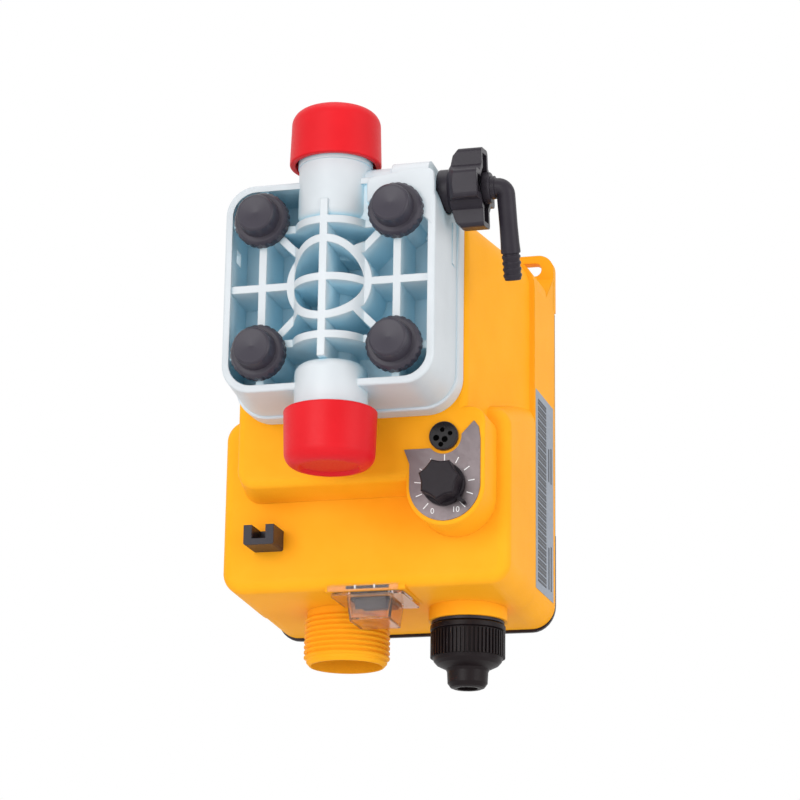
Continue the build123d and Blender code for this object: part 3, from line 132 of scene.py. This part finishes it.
ORANGE = surface("orange_moulding", (0.93, 0.385, 0.012), (0.97, 0.415, 0.018), (0.42, 0.54), 1800, 0.10,
                 edge=0.6, Specular_IOR_Level=0.05)
# Painted shade: the pockets between the ribs are darkened and tinted teal by ambient occlusion.
WHITE = surface("pale_moulding", (0.555, 0.595, 0.625), (0.605, 0.645, 0.675), (0.36, 0.48), 1800, 0.08,
                edge=0.45, painted_hollow_shade=((0.56, 0.83, 0.95), 0.10, 0.70), hollow_shade_reach=14.0)
BLACK = surface("black_moulding", (0.022, 0.018, 0.025), (0.030, 0.026, 0.034), (0.30, 0.42), 2200, 0.15,
                edge=0.3, Specular_IOR_Level=0.20)
DEEP_BLACK = surface("deep_black_moulding", (0.006, 0.003, 0.004), (0.010, 0.006, 0.007), (0.34, 0.46),
                     2200, 0.12, edge=0.2, Specular_IOR_Level=0.16)
KNOB_BLACK = surface("knob_black", (0.009, 0.006, 0.009), (0.014, 0.010, 0.014), (0.34, 0.46), 2200, 0.12,
                     edge=0.2, Specular_IOR_Level=0.16)
CAP_BLACK = surface("fluted_black", (0.032, 0.028, 0.040), (0.042, 0.037, 0.051), (0.30, 0.40), 2200, 0.12,
                    edge=0.7, Specular_IOR_Level=0.30)
GLOSS_BLACK = surface("gloss_black", (0.005, 0.004, 0.005), (0.009, 0.007, 0.008), (0.10, 0.18), 1500, 0.03,
                      edge=0.15, Specular_IOR_Level=0.12)
# Painted shade: near-black colour for the inside of the socket's pin holes.
HOLE_SHADE = surface("hole_shade", (0.001, 0.001, 0.001), (0.002, 0.002, 0.002), (0.8, 0.9), edge=0.0,
                   Specular_IOR_Level=0.0)
RED = surface("red_moulding", (0.62, 0.004, 0.010), (0.68, 0.007, 0.014), (0.38, 0.50), 1500, 0.08, edge=0.4,
              Specular_IOR_Level=0.2)
GREY = surface("grey_moulding", (0.30, 0.31, 0.32), (0.38, 0.39, 0.40), edge=0.2)
RUBBER = surface("rubber", (0.018, 0.018, 0.018), (0.03, 0.03, 0.03), (0.62, 0.75), edge=0.2)
CERAMIC = surface("ceramic", (0.82, 0.82, 0.80), (0.88, 0.88, 0.86), (0.12, 0.2), edge=0.0)
STEEL = surface("steel", (0.52, 0.52, 0.54), (0.62, 0.62, 0.64), (0.28, 0.40), metallic=1.0, edge=0.2)
BRASS = surface("brass", (0.70, 0.52, 0.22), (0.80, 0.62, 0.30), (0.28, 0.40), metallic=1.0, edge=0.2)
# Painted shade: the scale plate's hollows are darkened by ambient occlusion.
PANEL = surface("scale_foil", (0.130, 0.102, 0.107), (0.185, 0.150, 0.156), (0.34, 0.46), 900, 0.05,
                metallic=0.30, edge=0.1, painted_hollow_shade=((0.085, 0.070, 0.074), 0.25, 0.75), hollow_shade_reach=5.0)
BOARD = surface("circuit_board", (0.02, 0.14, 0.05), (0.03, 0.20, 0.08), (0.3, 0.45), edge=0.1)
WINDING = surface("winding", (0.36, 0.13, 0.05), (0.46, 0.18, 0.07), (0.35, 0.5), edge=0.2)
PRINT_WHITE = surface("print_white", (0.78, 0.77, 0.76), (0.86, 0.85, 0.84), (0.4, 0.5), edge=0.0)
PRINT_DARK = surface("print_dark", (0.016, 0.017, 0.024), (0.026, 0.028, 0.038), (0.4, 0.5), edge=0.0)
LABEL = surface("label_film", (0.185, 0.220, 0.280), (0.215, 0.250, 0.310), (0.32, 0.42), 900, 0.03, edge=0.0)


def clear_plastic():
    """Tinted glass-like moulding with a slightly uneven gloss."""
    mat, nt, bsdf, coords = new_material("clear_moulding")
    fine = noise(nt, coords, 900.0, 2.0)
    colour = mix_colour(nt, ramp(nt, noise(nt, coords, 60.0), 0.35, 0.65, 0.0, 1.0),
                        (0.93, 0.86, 0.85), (0.97, 0.91, 0.90))
    nt.links.new(colour, bsdf.inputs["Base Color"])
    nt.links.new(ramp(nt, fine, 0.3, 0.7, 0.03, 0.08), bsdf.inputs["Roughness"])
    bsdf.inputs["Transmission Weight"].default_value = 0.97
    bsdf.inputs["IOR"].default_value = 1.22
    return mat


CLEAR = clear_plastic()

BY_SLOT = {
    "orange_plastic": ORANGE,
    "white_plastic": WHITE,
    "black_plastic": BLACK,
    "grey_plastic": GREY,
    "red_plastic": RED,
    "clear_plastic": CLEAR,
    "black_rubber": RUBBER,
    "ceramic": CERAMIC,
    "steel": STEEL,
    "brass": BRASS,
    "silver_panel": PANEL,
    "circuit_green": BOARD,
    "copper_winding": WINDING,
}

for part in frame["record"]["subparts"]:
    node = frame["nodes"][part["node"]]
    mat = BY_SLOT[part["material_slot"]]
    node.data.materials.clear()
    if part["node"].startswith("screw_cap"):
        mat = CAP_BLACK
    elif part["node"] in ("gland_nut", "switch_frame"):
        mat = DEEP_BLACK
    node.data.materials.append(mat)

# The cover's faces would lie exactly on the casing's, so it is drawn a hair smaller.
shrink = frame["nodes"]["switch_cover"].modifiers.new("clear_of_the_casing", "DISPLACE")
shrink.strength = -0.06 * MM
shrink.mid_level = 0.0


# ---------------------------------------------------------------- small pieces
def new_object(name, mesh, mat):
    obj = bpy.data.objects.new(name, mesh)
    bpy.context.scene.collection.objects.link(obj)
    mesh.materials.append(mat)
    return obj


def prism(bm, corners, lift):
    """Closed prism from a loop of corners, raised by the lift vector."""
    base = [bm.verts.new(Vector(c)) for c in corners]
    top = [bm.verts.new(Vector(c) + Vector(lift)) for c in corners]
    bm.faces.new(list(reversed(base)))
    bm.faces.new(top)
    count = len(base)
    for k in range(count):
        bm.faces.new((base[k], base[(k + 1) % count], top[(k + 1) % count], top[k]))


def finish_mesh(name, bm, mat):
    bmesh.ops.recalc_face_normals(bm, faces=bm.faces)
    mesh = bpy.data.meshes.new(name)
    bm.to_mesh(mesh)
    bm.free()
    return new_object(name, mesh, mat)


def place(obj, body):
    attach(obj, body)
    return obj


# ---------------------------------------------------------------- label on the right wall
CASE_HALF = 51.5
SIDE_DRAFT_DEG = 1.0
DRAFT = math.tan(math.radians(SIDE_DRAFT_DEG))
LABEL_BACK, LABEL_FRONT = 5.0, 32.5     # depths from the wall
LABEL_LOW, LABEL_TOP = -85.5, -14.0
FILM = 0.08
BAR_BACK, BAR_FRONT = 16.5, 29.0
BAR_MARGIN = 3.0
BAR_PITCH = 1.25
BAR_WIDTHS = (0.75, 1.0, 0.6, 0.95)
LINE_BACK, LINE_PITCH, LINE_WIDTH = 8.0, 3.6, 1.3
LINE_ROWS = ((-82.0, -66.0), (-43.0, -29.0))
LINES_PER_ROW = 2


def on_side(depth, z, lift=0.0):
    """Point of the right wall at a depth from the wall and a height, in metres."""
    return Vector((CASE_HALF - depth * DRAFT + lift, -depth, z)) * MM


def side_patch(bm, back, front, low, high, lift):
    corners = [on_side(back, low, lift), on_side(front, low, lift), on_side(front, high, lift),
               on_side(back, high, lift)]
    prism(bm, corners, (FILM * MM, 0, 0))


def side_label():
    bm = bmesh.new()
    side_patch(bm, LABEL_BACK, LABEL_FRONT, LABEL_LOW, LABEL_TOP, 0.0)
    place(finish_mesh("side_label", bm, LABEL), "pump")


def side_label_print():
    """Plain bars and short lines that stand for print."""
    bm = bmesh.new()
    z = LABEL_LOW + BAR_MARGIN
    step = 0
    while z < LABEL_TOP - BAR_MARGIN:
        side_patch(bm, BAR_BACK, BAR_FRONT, z, z + BAR_WIDTHS[step % len(BAR_WIDTHS)], FILM)
        z += BAR_PITCH
        step += 1
    for row, (low, high) in enumerate(LINE_ROWS):
        for line in range(LINES_PER_ROW):
            back = LINE_BACK + LINE_PITCH * line
            side_patch(bm, back, back + LINE_WIDTH, low, high - (row + line) % 3, FILM)
    place(finish_mesh("side_label_print", bm, PRINT_DARK), "pump")


side_label()
side_label_print()

# ---------------------------------------------------------------- print on the scale plate
PANEL_FRONT = 90.5
DOSE_X, DOSE_Z = 32.6, -62.8
TICKS = 11
TICK_IN, TICK_OUT = 8.1, 10.3
TICK_HALF, TICK_T = 0.17, 0.05
END_TICK_MORE = 0.3
FIRST_ANGLE, LAST_ANGLE = 228.0, -48.0
FIGURE_SIZE, FIGURE_T, FIGURE_LIFT = 2.7, 0.02, 0.03


def on_panel(x, z, lift=0.0):
    return Vector((x, -(PANEL_FRONT + lift), z)) * MM


def scale_ticks():
    bm = bmesh.new()
    for k in range(TICKS):
        angle = math.radians(FIRST_ANGLE + (LAST_ANGLE - FIRST_ANGLE) * k / (TICKS - 1))
        along = Vector((math.cos(angle), math.sin(angle)))
        across = Vector((-along.y, along.x)) * TICK_HALF
        reach = TICK_OUT + (END_TICK_MORE if k in (0, TICKS - 1) else 0.0)
        corners = []
        for radius, side in ((TICK_IN, -1), (reach, -1), (reach, 1), (TICK_IN, 1)):
            p = along * radius + across * side
            corners.append(on_panel(DOSE_X + p.x, DOSE_Z + p.y))
        prism(bm, corners, (0, -TICK_T * MM, 0))
    place(finish_mesh("scale_ticks", bm, PRINT_WHITE), "pump")


def panel_text(name, figure, x, z):
    curve = bpy.data.curves.new(name, "FONT")
    curve.body = figure
    curve.size = FIGURE_SIZE * MM
    curve.align_x = "CENTER"
    curve.align_y = "CENTER"
    curve.extrude = FIGURE_T * MM
    curve.materials.append(PRINT_WHITE)
    obj = bpy.data.objects.new(name, curve)
    bpy.context.scene.collection.objects.link(obj)
    upright = Matrix.Rotation(math.radians(90), 4, "X")
    obj.matrix_world = Matrix.Translation(on_panel(x, z, FIGURE_LIFT)) @ upright
    return place(obj, "pump")


scale_ticks()
panel_text("scale_low", "0", 28.6, -71.6)
panel_text("scale_high", "10", 36.5, -71.4)

# ---------------------------------------------------------------- dose knob
KNOB_BACK, KNOB_FRONT = 90.8, 99.4
KNOB_R, KNOB_DIP, KNOB_POINTS = 7.2, 1.15, 7
DIP_POWER = 0.8             # below 1 the hollow sides are rounder than a sine
DIP_STEPS = 10
BODY_LIFT, BODY_EDGE = 1.2, 0.5
BODY_TAPER, FACE_TAPER = 0.15, 0.6
SKIRT_SIDE, SKIRT_TOP, SKIRT_TAPER, SKIRT_STEPS = 1.7, 2.0, 0.4, 72
POINTER_DEG = -44.0
KNOB_SHARP = 32             # edges sharper than this angle stay sharp
POINTER_IN, POINTER_OUT = 4.0, 10.0
POINTER_HALF_IN, POINTER_HALF_OUT, POINTER_T = 0.75, 0.6, 3.4


def star():
    """Outline with sharp points and hollow sides between them, one point at the pointer."""
    outline = []
    for k in range(KNOB_POINTS):
        for step in range(DIP_STEPS):
            share = step / DIP_STEPS
            angle = math.radians(POINTER_DEG + 360 / KNOB_POINTS * (k + share))
            outline.append((KNOB_R - KNOB_DIP * math.sin(math.pi * share) ** DIP_POWER, angle))
    return outline


def ring_at(bm, outline, depth, shrink=0.0):
    """Ring of corners round the knob's axis, from pairs of radius and angle."""
    verts = []
    for radius, angle in outline:
        x = DOSE_X + (radius - shrink) * math.cos(angle)
        z = DOSE_Z + (radius - shrink) * math.sin(angle)
        verts.append(bm.verts.new(Vector((x, -depth, z)) * MM))
    return verts


def skin(bm, rings):
    """Closed body through rings of corners."""
    for low, high in zip(rings, rings[1:]):
        count = len(low)
        for k in range(count):
            bm.faces.new((low[k], low[(k + 1) % count], high[(k + 1) % count], high[k]))
    bm.faces.new(rings[0])
    bm.faces.new(rings[-1])


def smooth_by_angle(obj, degrees):
    """Smooth shading, with edges sharper than the angle kept."""
    limit = math.radians(degrees)
    mesh = obj.data
    bm = bmesh.new()
    bm.from_mesh(mesh)
    for face in bm.faces:
        face.smooth = True
    for edge in bm.edges:
        if len(edge.link_faces) == 2 and edge.calc_face_angle() > limit:
            edge.smooth = False
    bm.to_mesh(mesh)
    bm.free()


def dose_knob():
    """Seven hollow sides with a point between each two, a round skirt and a pointer bar."""
    bm = bmesh.new()
    body = star()
    skin(bm, [ring_at(bm, body, KNOB_BACK + BODY_LIFT),
              ring_at(bm, body, KNOB_FRONT - BODY_EDGE, BODY_TAPER),
              ring_at(bm, body, KNOB_FRONT, FACE_TAPER)])
    circle = [(KNOB_R, 2 * math.pi * k / SKIRT_STEPS) for k in range(SKIRT_STEPS)]
    skin(bm, [ring_at(bm, circle, KNOB_BACK),
              ring_at(bm, circle, KNOB_BACK + SKIRT_SIDE),
              ring_at(bm, circle, KNOB_BACK + SKIRT_TOP, SKIRT_TAPER)])
    along = Vector((math.cos(math.radians(POINTER_DEG)), math.sin(math.radians(POINTER_DEG))))
    across = Vector((-along.y, along.x))
    corners = []
    for radius, side in ((POINTER_IN, -POINTER_HALF_IN), (POINTER_OUT, -POINTER_HALF_OUT),
                         (POINTER_OUT, POINTER_HALF_OUT), (POINTER_IN, POINTER_HALF_IN)):
        p = along * radius + across * side
        corners.append(Vector((DOSE_X + p.x, -KNOB_BACK, DOSE_Z + p.y)) * MM)
    prism(bm, corners, (0, -POINTER_T * MM, 0))
    knob = finish_mesh("dose_knob_body", bm, KNOB_BLACK)
    smooth_by_angle(knob, KNOB_SHARP)
    place(knob, "dose_control")
    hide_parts("dose_knob")


dose_knob()

# ---------------------------------------------------------------- socket
SOCKET_X, SOCKET_Z, SOCKET_FRONT = 32.3, -46.2, 91.6
FACE_R, FACE_SINK, FACE_T, FACE_STEPS = 4.55, 0.2, 0.30, 48
HOLE_LIFT, HOLE_T = 0.10, 0.03
PIN_HOLES = (               # across, up and radius, from the socket's axis
    (-2.35, -0.75, 1.05),
    (0.55, -1.35, 1.05),
    (-0.75, -3.05, 0.85),
    (2.4, 0.6, 0.8),
    (-0.3, 1.9, 0.8),
)


def disc(bm, x, z, radius, depth, thick, steps=32):
    loop = [Vector((x + radius * math.cos(2 * math.pi * k / steps), -depth,
                    z + radius * math.sin(2 * math.pi * k / steps))) * MM for k in range(steps)]
    prism(bm, loop, (0, -thick * MM, 0))


def socket_face():
    """Glossy face of the socket, a disc that stands just proud of the solid."""
    bm = bmesh.new()
    disc(bm, SOCKET_X, SOCKET_Z, FACE_R, SOCKET_FRONT - FACE_SINK, FACE_T, FACE_STEPS)
    place(finish_mesh("socket_face", bm, GLOSS_BLACK), "pump")


# Painted shade: flat near-black discs over the pin holes stand for the dark inside of each hole.
def socket_hole_shade():
    bm = bmesh.new()
    for dx, dz, radius in PIN_HOLES:
        disc(bm, SOCKET_X + dx, SOCKET_Z + dz, radius, SOCKET_FRONT + HOLE_LIFT, HOLE_T)
    place(finish_mesh("socket_hole_shade", bm, HOLE_SHADE), "pump")


socket_face()
socket_hole_shade()

# ---------------------------------------------------------------- front of the side arm
HEAD_FRONT = 120.0
ARM_BACK, ARM_T = 2.6, 2.75             # back of the piece behind the head's front, and its thickness
ARM_EDGE, ARM_SHARP = 0.8, 40
ARM_OUTLINE = [(12.5, 27.0), (12.5, 35.3), (15.2, 36.3), (22.8, 37.0), (24.0, 37.6), (33.0, 37.7),
               (34.6, 37.1), (35.4, 35.9), (35.7, 31.5), (35.5, 23.1), (35.6, 17.6), (34.2, 17.6),
               (33.2, 19.4), (31.0, 21.2), (24.0, 24.0), (15.0, 26.6)]


def arm_front():
    """The arm's front runs out flush over the corner of the head's rim."""
    bm = bmesh.new()
    corners = [Vector((x, -(HEAD_FRONT - ARM_BACK), z)) * MM for x, z in ARM_OUTLINE]
    prism(bm, corners, (0, -ARM_T * MM, 0))
    arm = finish_mesh("arm_front", bm, WHITE)
    soften = arm.modifiers.new("edges", "BEVEL")
    soften.width = ARM_EDGE * MM
    soften.segments = 3
    smooth_by_angle(arm, ARM_SHARP)
    place(arm, "pump")


arm_front()

# ---------------------------------------------------------------- hose elbow
ELBOW_FROM = (49.5, -108.0, 33.2)
ELBOW_BEND_X, ELBOW_BEND_R, ELBOW_BAR_R = 56.8, 2.6, 3.1
ELBOW_BACK = 23.0           # the leg hangs back towards the wall by this angle
ELBOW_SIDES, BEND_STEPS = 40, 8
ELBOW_SHARP = 38
COLLAR = ((0.0, 4.9), (0.3, 5.2), (2.4, 5.2), (2.7, 4.9), (2.75, 3.95), (4.0, 3.85), (4.2, 3.15))
LEG_FLARE = [(13.0, 3.05), (18.5, 3.15), (21.4, 3.3), (22.0, 3.25), (22.3, 2.75)]
LEG_END = [(30.9, 2.75), (31.1, 2.4), (31.12, 1.6), (28.5, 1.6)]
BARBS, BARB_FIRST, BARB_PITCH = 4, 22.6, 2.05
BARB_RING = ((0.0, 2.80), (0.35, 3.12), (0.95, 3.15), (1.4, 2.85))


def swept(bm, stations):
    """Closed round bar through stations of centre, direction and radius."""
    tilt = math.radians(ELBOW_BACK)
    side = Vector((0, math.cos(tilt), math.sin(tilt)))
    rings = []
    for centre, direction, radius in stations:
        other = Vector(direction).cross(side)
        ring = []
        for k in range(ELBOW_SIDES):
            angle = 2 * math.pi * k / ELBOW_SIDES
            spoke = side * math.cos(angle) + other * math.sin(angle)
            ring.append(bm.verts.new((Vector(centre) + spoke * radius) * MM))
        rings.append(ring)
    skin(bm, rings)


def elbow_stations():
    """Collar along +X, rounded bend, then the leg with its ring barbs."""
    tilt = math.radians(ELBOW_BACK)
    start = Vector(ELBOW_FROM)
    outward = Vector((1, 0, 0))
    down = Vector((0, math.sin(tilt), -math.cos(tilt)))
    stations = [(start + outward * along, outward, radius) for along, radius in COLLAR]
    corner = Vector((ELBOW_BEND_X, start.y, start.z))
    pivot = corner - outward * ELBOW_BEND_R + down * ELBOW_BEND_R
    for k in range(BEND_STEPS + 1):
        angle = math.radians(90 * k / BEND_STEPS)
        spoke = outward * math.sin(angle) - down * math.cos(angle)
        heading = outward * math.cos(angle) + down * math.sin(angle)
        stations.append((pivot + spoke * ELBOW_BEND_R, heading, ELBOW_BAR_R))
    profile = list(LEG_FLARE)
    for ring in range(BARBS):
        low = BARB_FIRST + BARB_PITCH * ring
        profile += [(low + along, radius) for along, radius in BARB_RING]
    profile += LEG_END
    return stations + [(corner + down * along, down, radius) for along, radius in profile]


def bleed_elbow():
    bm = bmesh.new()
    swept(bm, elbow_stations())
    elbow = finish_mesh("bleed_elbow_body", bm, BLACK)
    smooth_by_angle(elbow, ELBOW_SHARP)
    place(elbow, "bleed_outlet")
    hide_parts("bleed_elbow")


bleed_elbow()


def return_spring():
    """Copy of the solid spring in steel, attached to the pump body in place of the hidden solid."""
    node = frame["nodes"]["return_spring"]
    spring = new_object("return_spring_coil", node.data.copy(), STEEL)
    spring.data.materials.clear()
    spring.data.materials.append(STEEL)
    spring.matrix_world = node.matrix_world
    place(spring, "pump")
    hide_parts("return_spring")
    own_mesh(spring)


return_spring()

# ---------------------------------------------------------------- front of the clear cover's flange
LIP_FRONT = 70.55           # just in front of the pad that carries the cover
LIP_LEFT, LIP_RIGHT = -12.5, 12.0
LIP_LOW, LIP_TOP = -92.7, -90.3
LIP_GAP, LIP_T = 0.06, 0.4
EDGE_LEFT, EDGE_RIGHT = -6.2, 8.8
EDGE_LOW, EDGE_TOP = -92.0, -90.8
LUG_PLACES, LUG_HALF, LUG_TOP = (-2.9, 3.8), 0.25, -90.7
LUG_LIFT, MARK_T = 0.47, 0.03


def lip_block(bm, x_low, x_high, z_low, z_high, depth, thick):
    corners = [Vector((x, -depth, z)) * MM for x, z in
               ((x_low, z_low), (x_high, z_low), (x_high, z_high), (x_low, z_high))]
    prism(bm, corners, (0, -thick * MM, 0))


def cover_lip():
    bm = bmesh.new()
    lip_block(bm, LIP_LEFT, LIP_RIGHT, LIP_LOW, LIP_TOP, LIP_FRONT + LIP_GAP, LIP_T)
    place(finish_mesh("cover_lip", bm, CLEAR), "pump")


def switch_edge():
    bm = bmesh.new()
    lip_block(bm, EDGE_LEFT, EDGE_RIGHT, EDGE_LOW, EDGE_TOP, LIP_FRONT, MARK_T)
    place(finish_mesh("switch_edge", bm, DEEP_BLACK), "pump")


# Painted highlights: thin white strips on the front of the clear lip stand for light caught on the cover's
# lugs.
def cover_lug_glints():
    bm = bmesh.new()
    for x in LUG_PLACES:
        lip_block(bm, x - LUG_HALF, x + LUG_HALF, EDGE_LOW, LUG_TOP, LIP_FRONT + LUG_LIFT, MARK_T)
    place(finish_mesh("cover_lug_glints", bm, PRINT_WHITE), "pump")


cover_lip()
switch_edge()
cover_lug_glints()

# ---------------------------------------------------------------- dark rim of the rear cover
COVER_LOW, COVER_PROUD, COVER_R = -93.9, 0.9, 8.5
COVER_GAP = 0.05
RIM_TOP, RIM_BACK, RIM_T = -60.0, 0.3, 1.5
CORNER_STEPS = 8


def cover_outline():
    """Lower outline of the rim, from its right side round to its left side."""
    half = CASE_HALF - COVER_GAP
    points = [(half, RIM_TOP)]
    for side in (1, -1):
        for k in range(CORNER_STEPS + 1):
            angle = math.radians(90 * k / CORNER_STEPS)
            out, down = math.cos(angle), math.sin(angle)
            if side < 0:
                out, down = down, out
            x = half - COVER_R + COVER_R * out
            z = COVER_LOW + COVER_R - (COVER_R + COVER_PROUD) * down
            points.append((side * x, z))
    points.append((-half, RIM_TOP))
    return points


def rear_rim():
    """Lower rim of the rear cover, which shows below the casing."""
    bm = bmesh.new()
    prism(bm, [Vector((x, -RIM_BACK, z)) * MM for x, z in cover_outline()], (0, -RIM_T * MM, 0))
    place(finish_mesh("rear_rim", bm, BLACK), "pump")


rear_rim()

# ---------------------------------------------------------------- stage, light, camera
CENTRE = (0.0, -0.06, -0.02)


def light_plane(name, location, size, power):
    """Soft rectangular lamp that faces the pump."""
    data = bpy.data.lights.new(name, "AREA")
    data.shape = "RECTANGLE"
    data.size, data.size_y = size
    data.energy = power
    obj = bpy.data.objects.new(name, data)
    bpy.context.scene.collection.objects.link(obj)
    direction = Vector(CENTRE) - Vector(location)
    obj.rotation_euler = direction.to_track_quat("-Z", "Y").to_euler()
    obj.location = location
    return obj


light_plane("key", (-0.35, -1.3, 0.05), (0.8, 0.8), 6.9)
light_plane("low_fill", (0.15, -1.0, -0.85), (1.1, 0.7), 8.8)
light_plane("right_fill", (1.2, -0.5, 0.0), (0.8, 1.0), 4.6)
light_plane("top", (0.0, -0.3, 1.2), (1.0, 0.8), 3.4)

ROOM_STRENGTH, SEEN_STRENGTH = 0.80, 1.0


def white_background(nt, strength):
    node = nt.nodes.new("ShaderNodeBackground")
    node.inputs["Color"].default_value = (1.0, 1.0, 1.0, 1.0)
    node.inputs["Strength"].default_value = strength
    return node.outputs[0]


def larger_of(nt, first, second):
    node = nt.nodes.new("ShaderNodeMath")
    node.operation = "MAXIMUM"
    nt.links.new(first, node.inputs[0])
    nt.links.new(second, node.inputs[1])
    return node.outputs[0]


def studio_world():
    """Even white light, and a full white wherever the background itself is seen."""
    world = bpy.data.worlds.new("studio")
    bpy.context.scene.world = world
    world.use_nodes = True
    nt = world.node_tree
    nt.nodes.clear()
    output = nt.nodes.new("ShaderNodeOutputWorld")
    room = white_background(nt, ROOM_STRENGTH)
    seen = white_background(nt, SEEN_STRENGTH)
    path = nt.nodes.new("ShaderNodeLightPath")
    direct = larger_of(nt, path.outputs["Is Camera Ray"], path.outputs["Is Transmission Ray"])
    choose = nt.nodes.new("ShaderNodeMixShader")
    nt.links.new(larger_of(nt, direct, path.outputs["Is Glossy Ray"]), choose.inputs["Fac"])
    nt.links.new(room, choose.inputs[1])
    nt.links.new(seen, choose.inputs[2])
    nt.links.new(choose.outputs[0], output.inputs["Surface"])


studio_world()

FLOOR_Z, FLOOR_HALF = -0.62, 4.0


def studio_floor():
    bm = bmesh.new()
    corners = [(-FLOOR_HALF, -FLOOR_HALF, FLOOR_Z), (FLOOR_HALF, -FLOOR_HALF, FLOOR_Z),
               (FLOOR_HALF, FLOOR_HALF, FLOOR_Z), (-FLOOR_HALF, FLOOR_HALF, FLOOR_Z)]
    bm.faces.new([bm.verts.new(c) for c in corners])
    mesh = bpy.data.meshes.new("floor")
    bm.to_mesh(mesh)
    bm.free()
    paint = surface("floor_paint", (0.80, 0.80, 0.80), (0.84, 0.84, 0.84), (0.7, 0.8), 200, 0.0, edge=0.0)
    return new_object("floor", mesh, paint)


floor = studio_floor()

# Camera below and to the right of the pump, looking up at it.
CAM_AZ, CAM_EL, CAM_ROLL = math.radians(14.995), math.radians(16.289), math.radians(0.807)
CAM_PLACE = Vector((243.11, -934.28, -288.08)) * MM
FOCAL_PIXELS, PICTURE_PIXELS = 2730.18, 800
right = Vector((math.cos(CAM_AZ), math.sin(CAM_AZ), 0))
level = Vector((-math.sin(CAM_AZ), math.cos(CAM_AZ), 0))
rise = Vector((0, 0, 1))
forward = level * math.cos(CAM_EL) + rise * math.sin(CAM_EL)
up = rise * math.cos(CAM_EL) - level * math.sin(CAM_EL)
rolled_right = right * math.cos(CAM_ROLL) + up * math.sin(CAM_ROLL)
rolled_up = up * math.cos(CAM_ROLL) - right * math.sin(CAM_ROLL)
cam_data = bpy.data.cameras.new("camera")
cam_data.sensor_width = 36.0
cam_data.sensor_fit = "HORIZONTAL"
cam_data.lens = FOCAL_PIXELS / PICTURE_PIXELS * cam_data.sensor_width
cam = bpy.data.objects.new("camera", cam_data)
bpy.context.scene.collection.objects.link(cam)
turn = Matrix((rolled_right, rolled_up, -forward)).transposed().to_4x4()
cam.matrix_world = Matrix.Translation(CAM_PLACE) @ turn
bpy.context.scene.camera = cam
bpy.context.scene.view_settings.view_transform = "Standard"

bpy.context.view_layer.update()
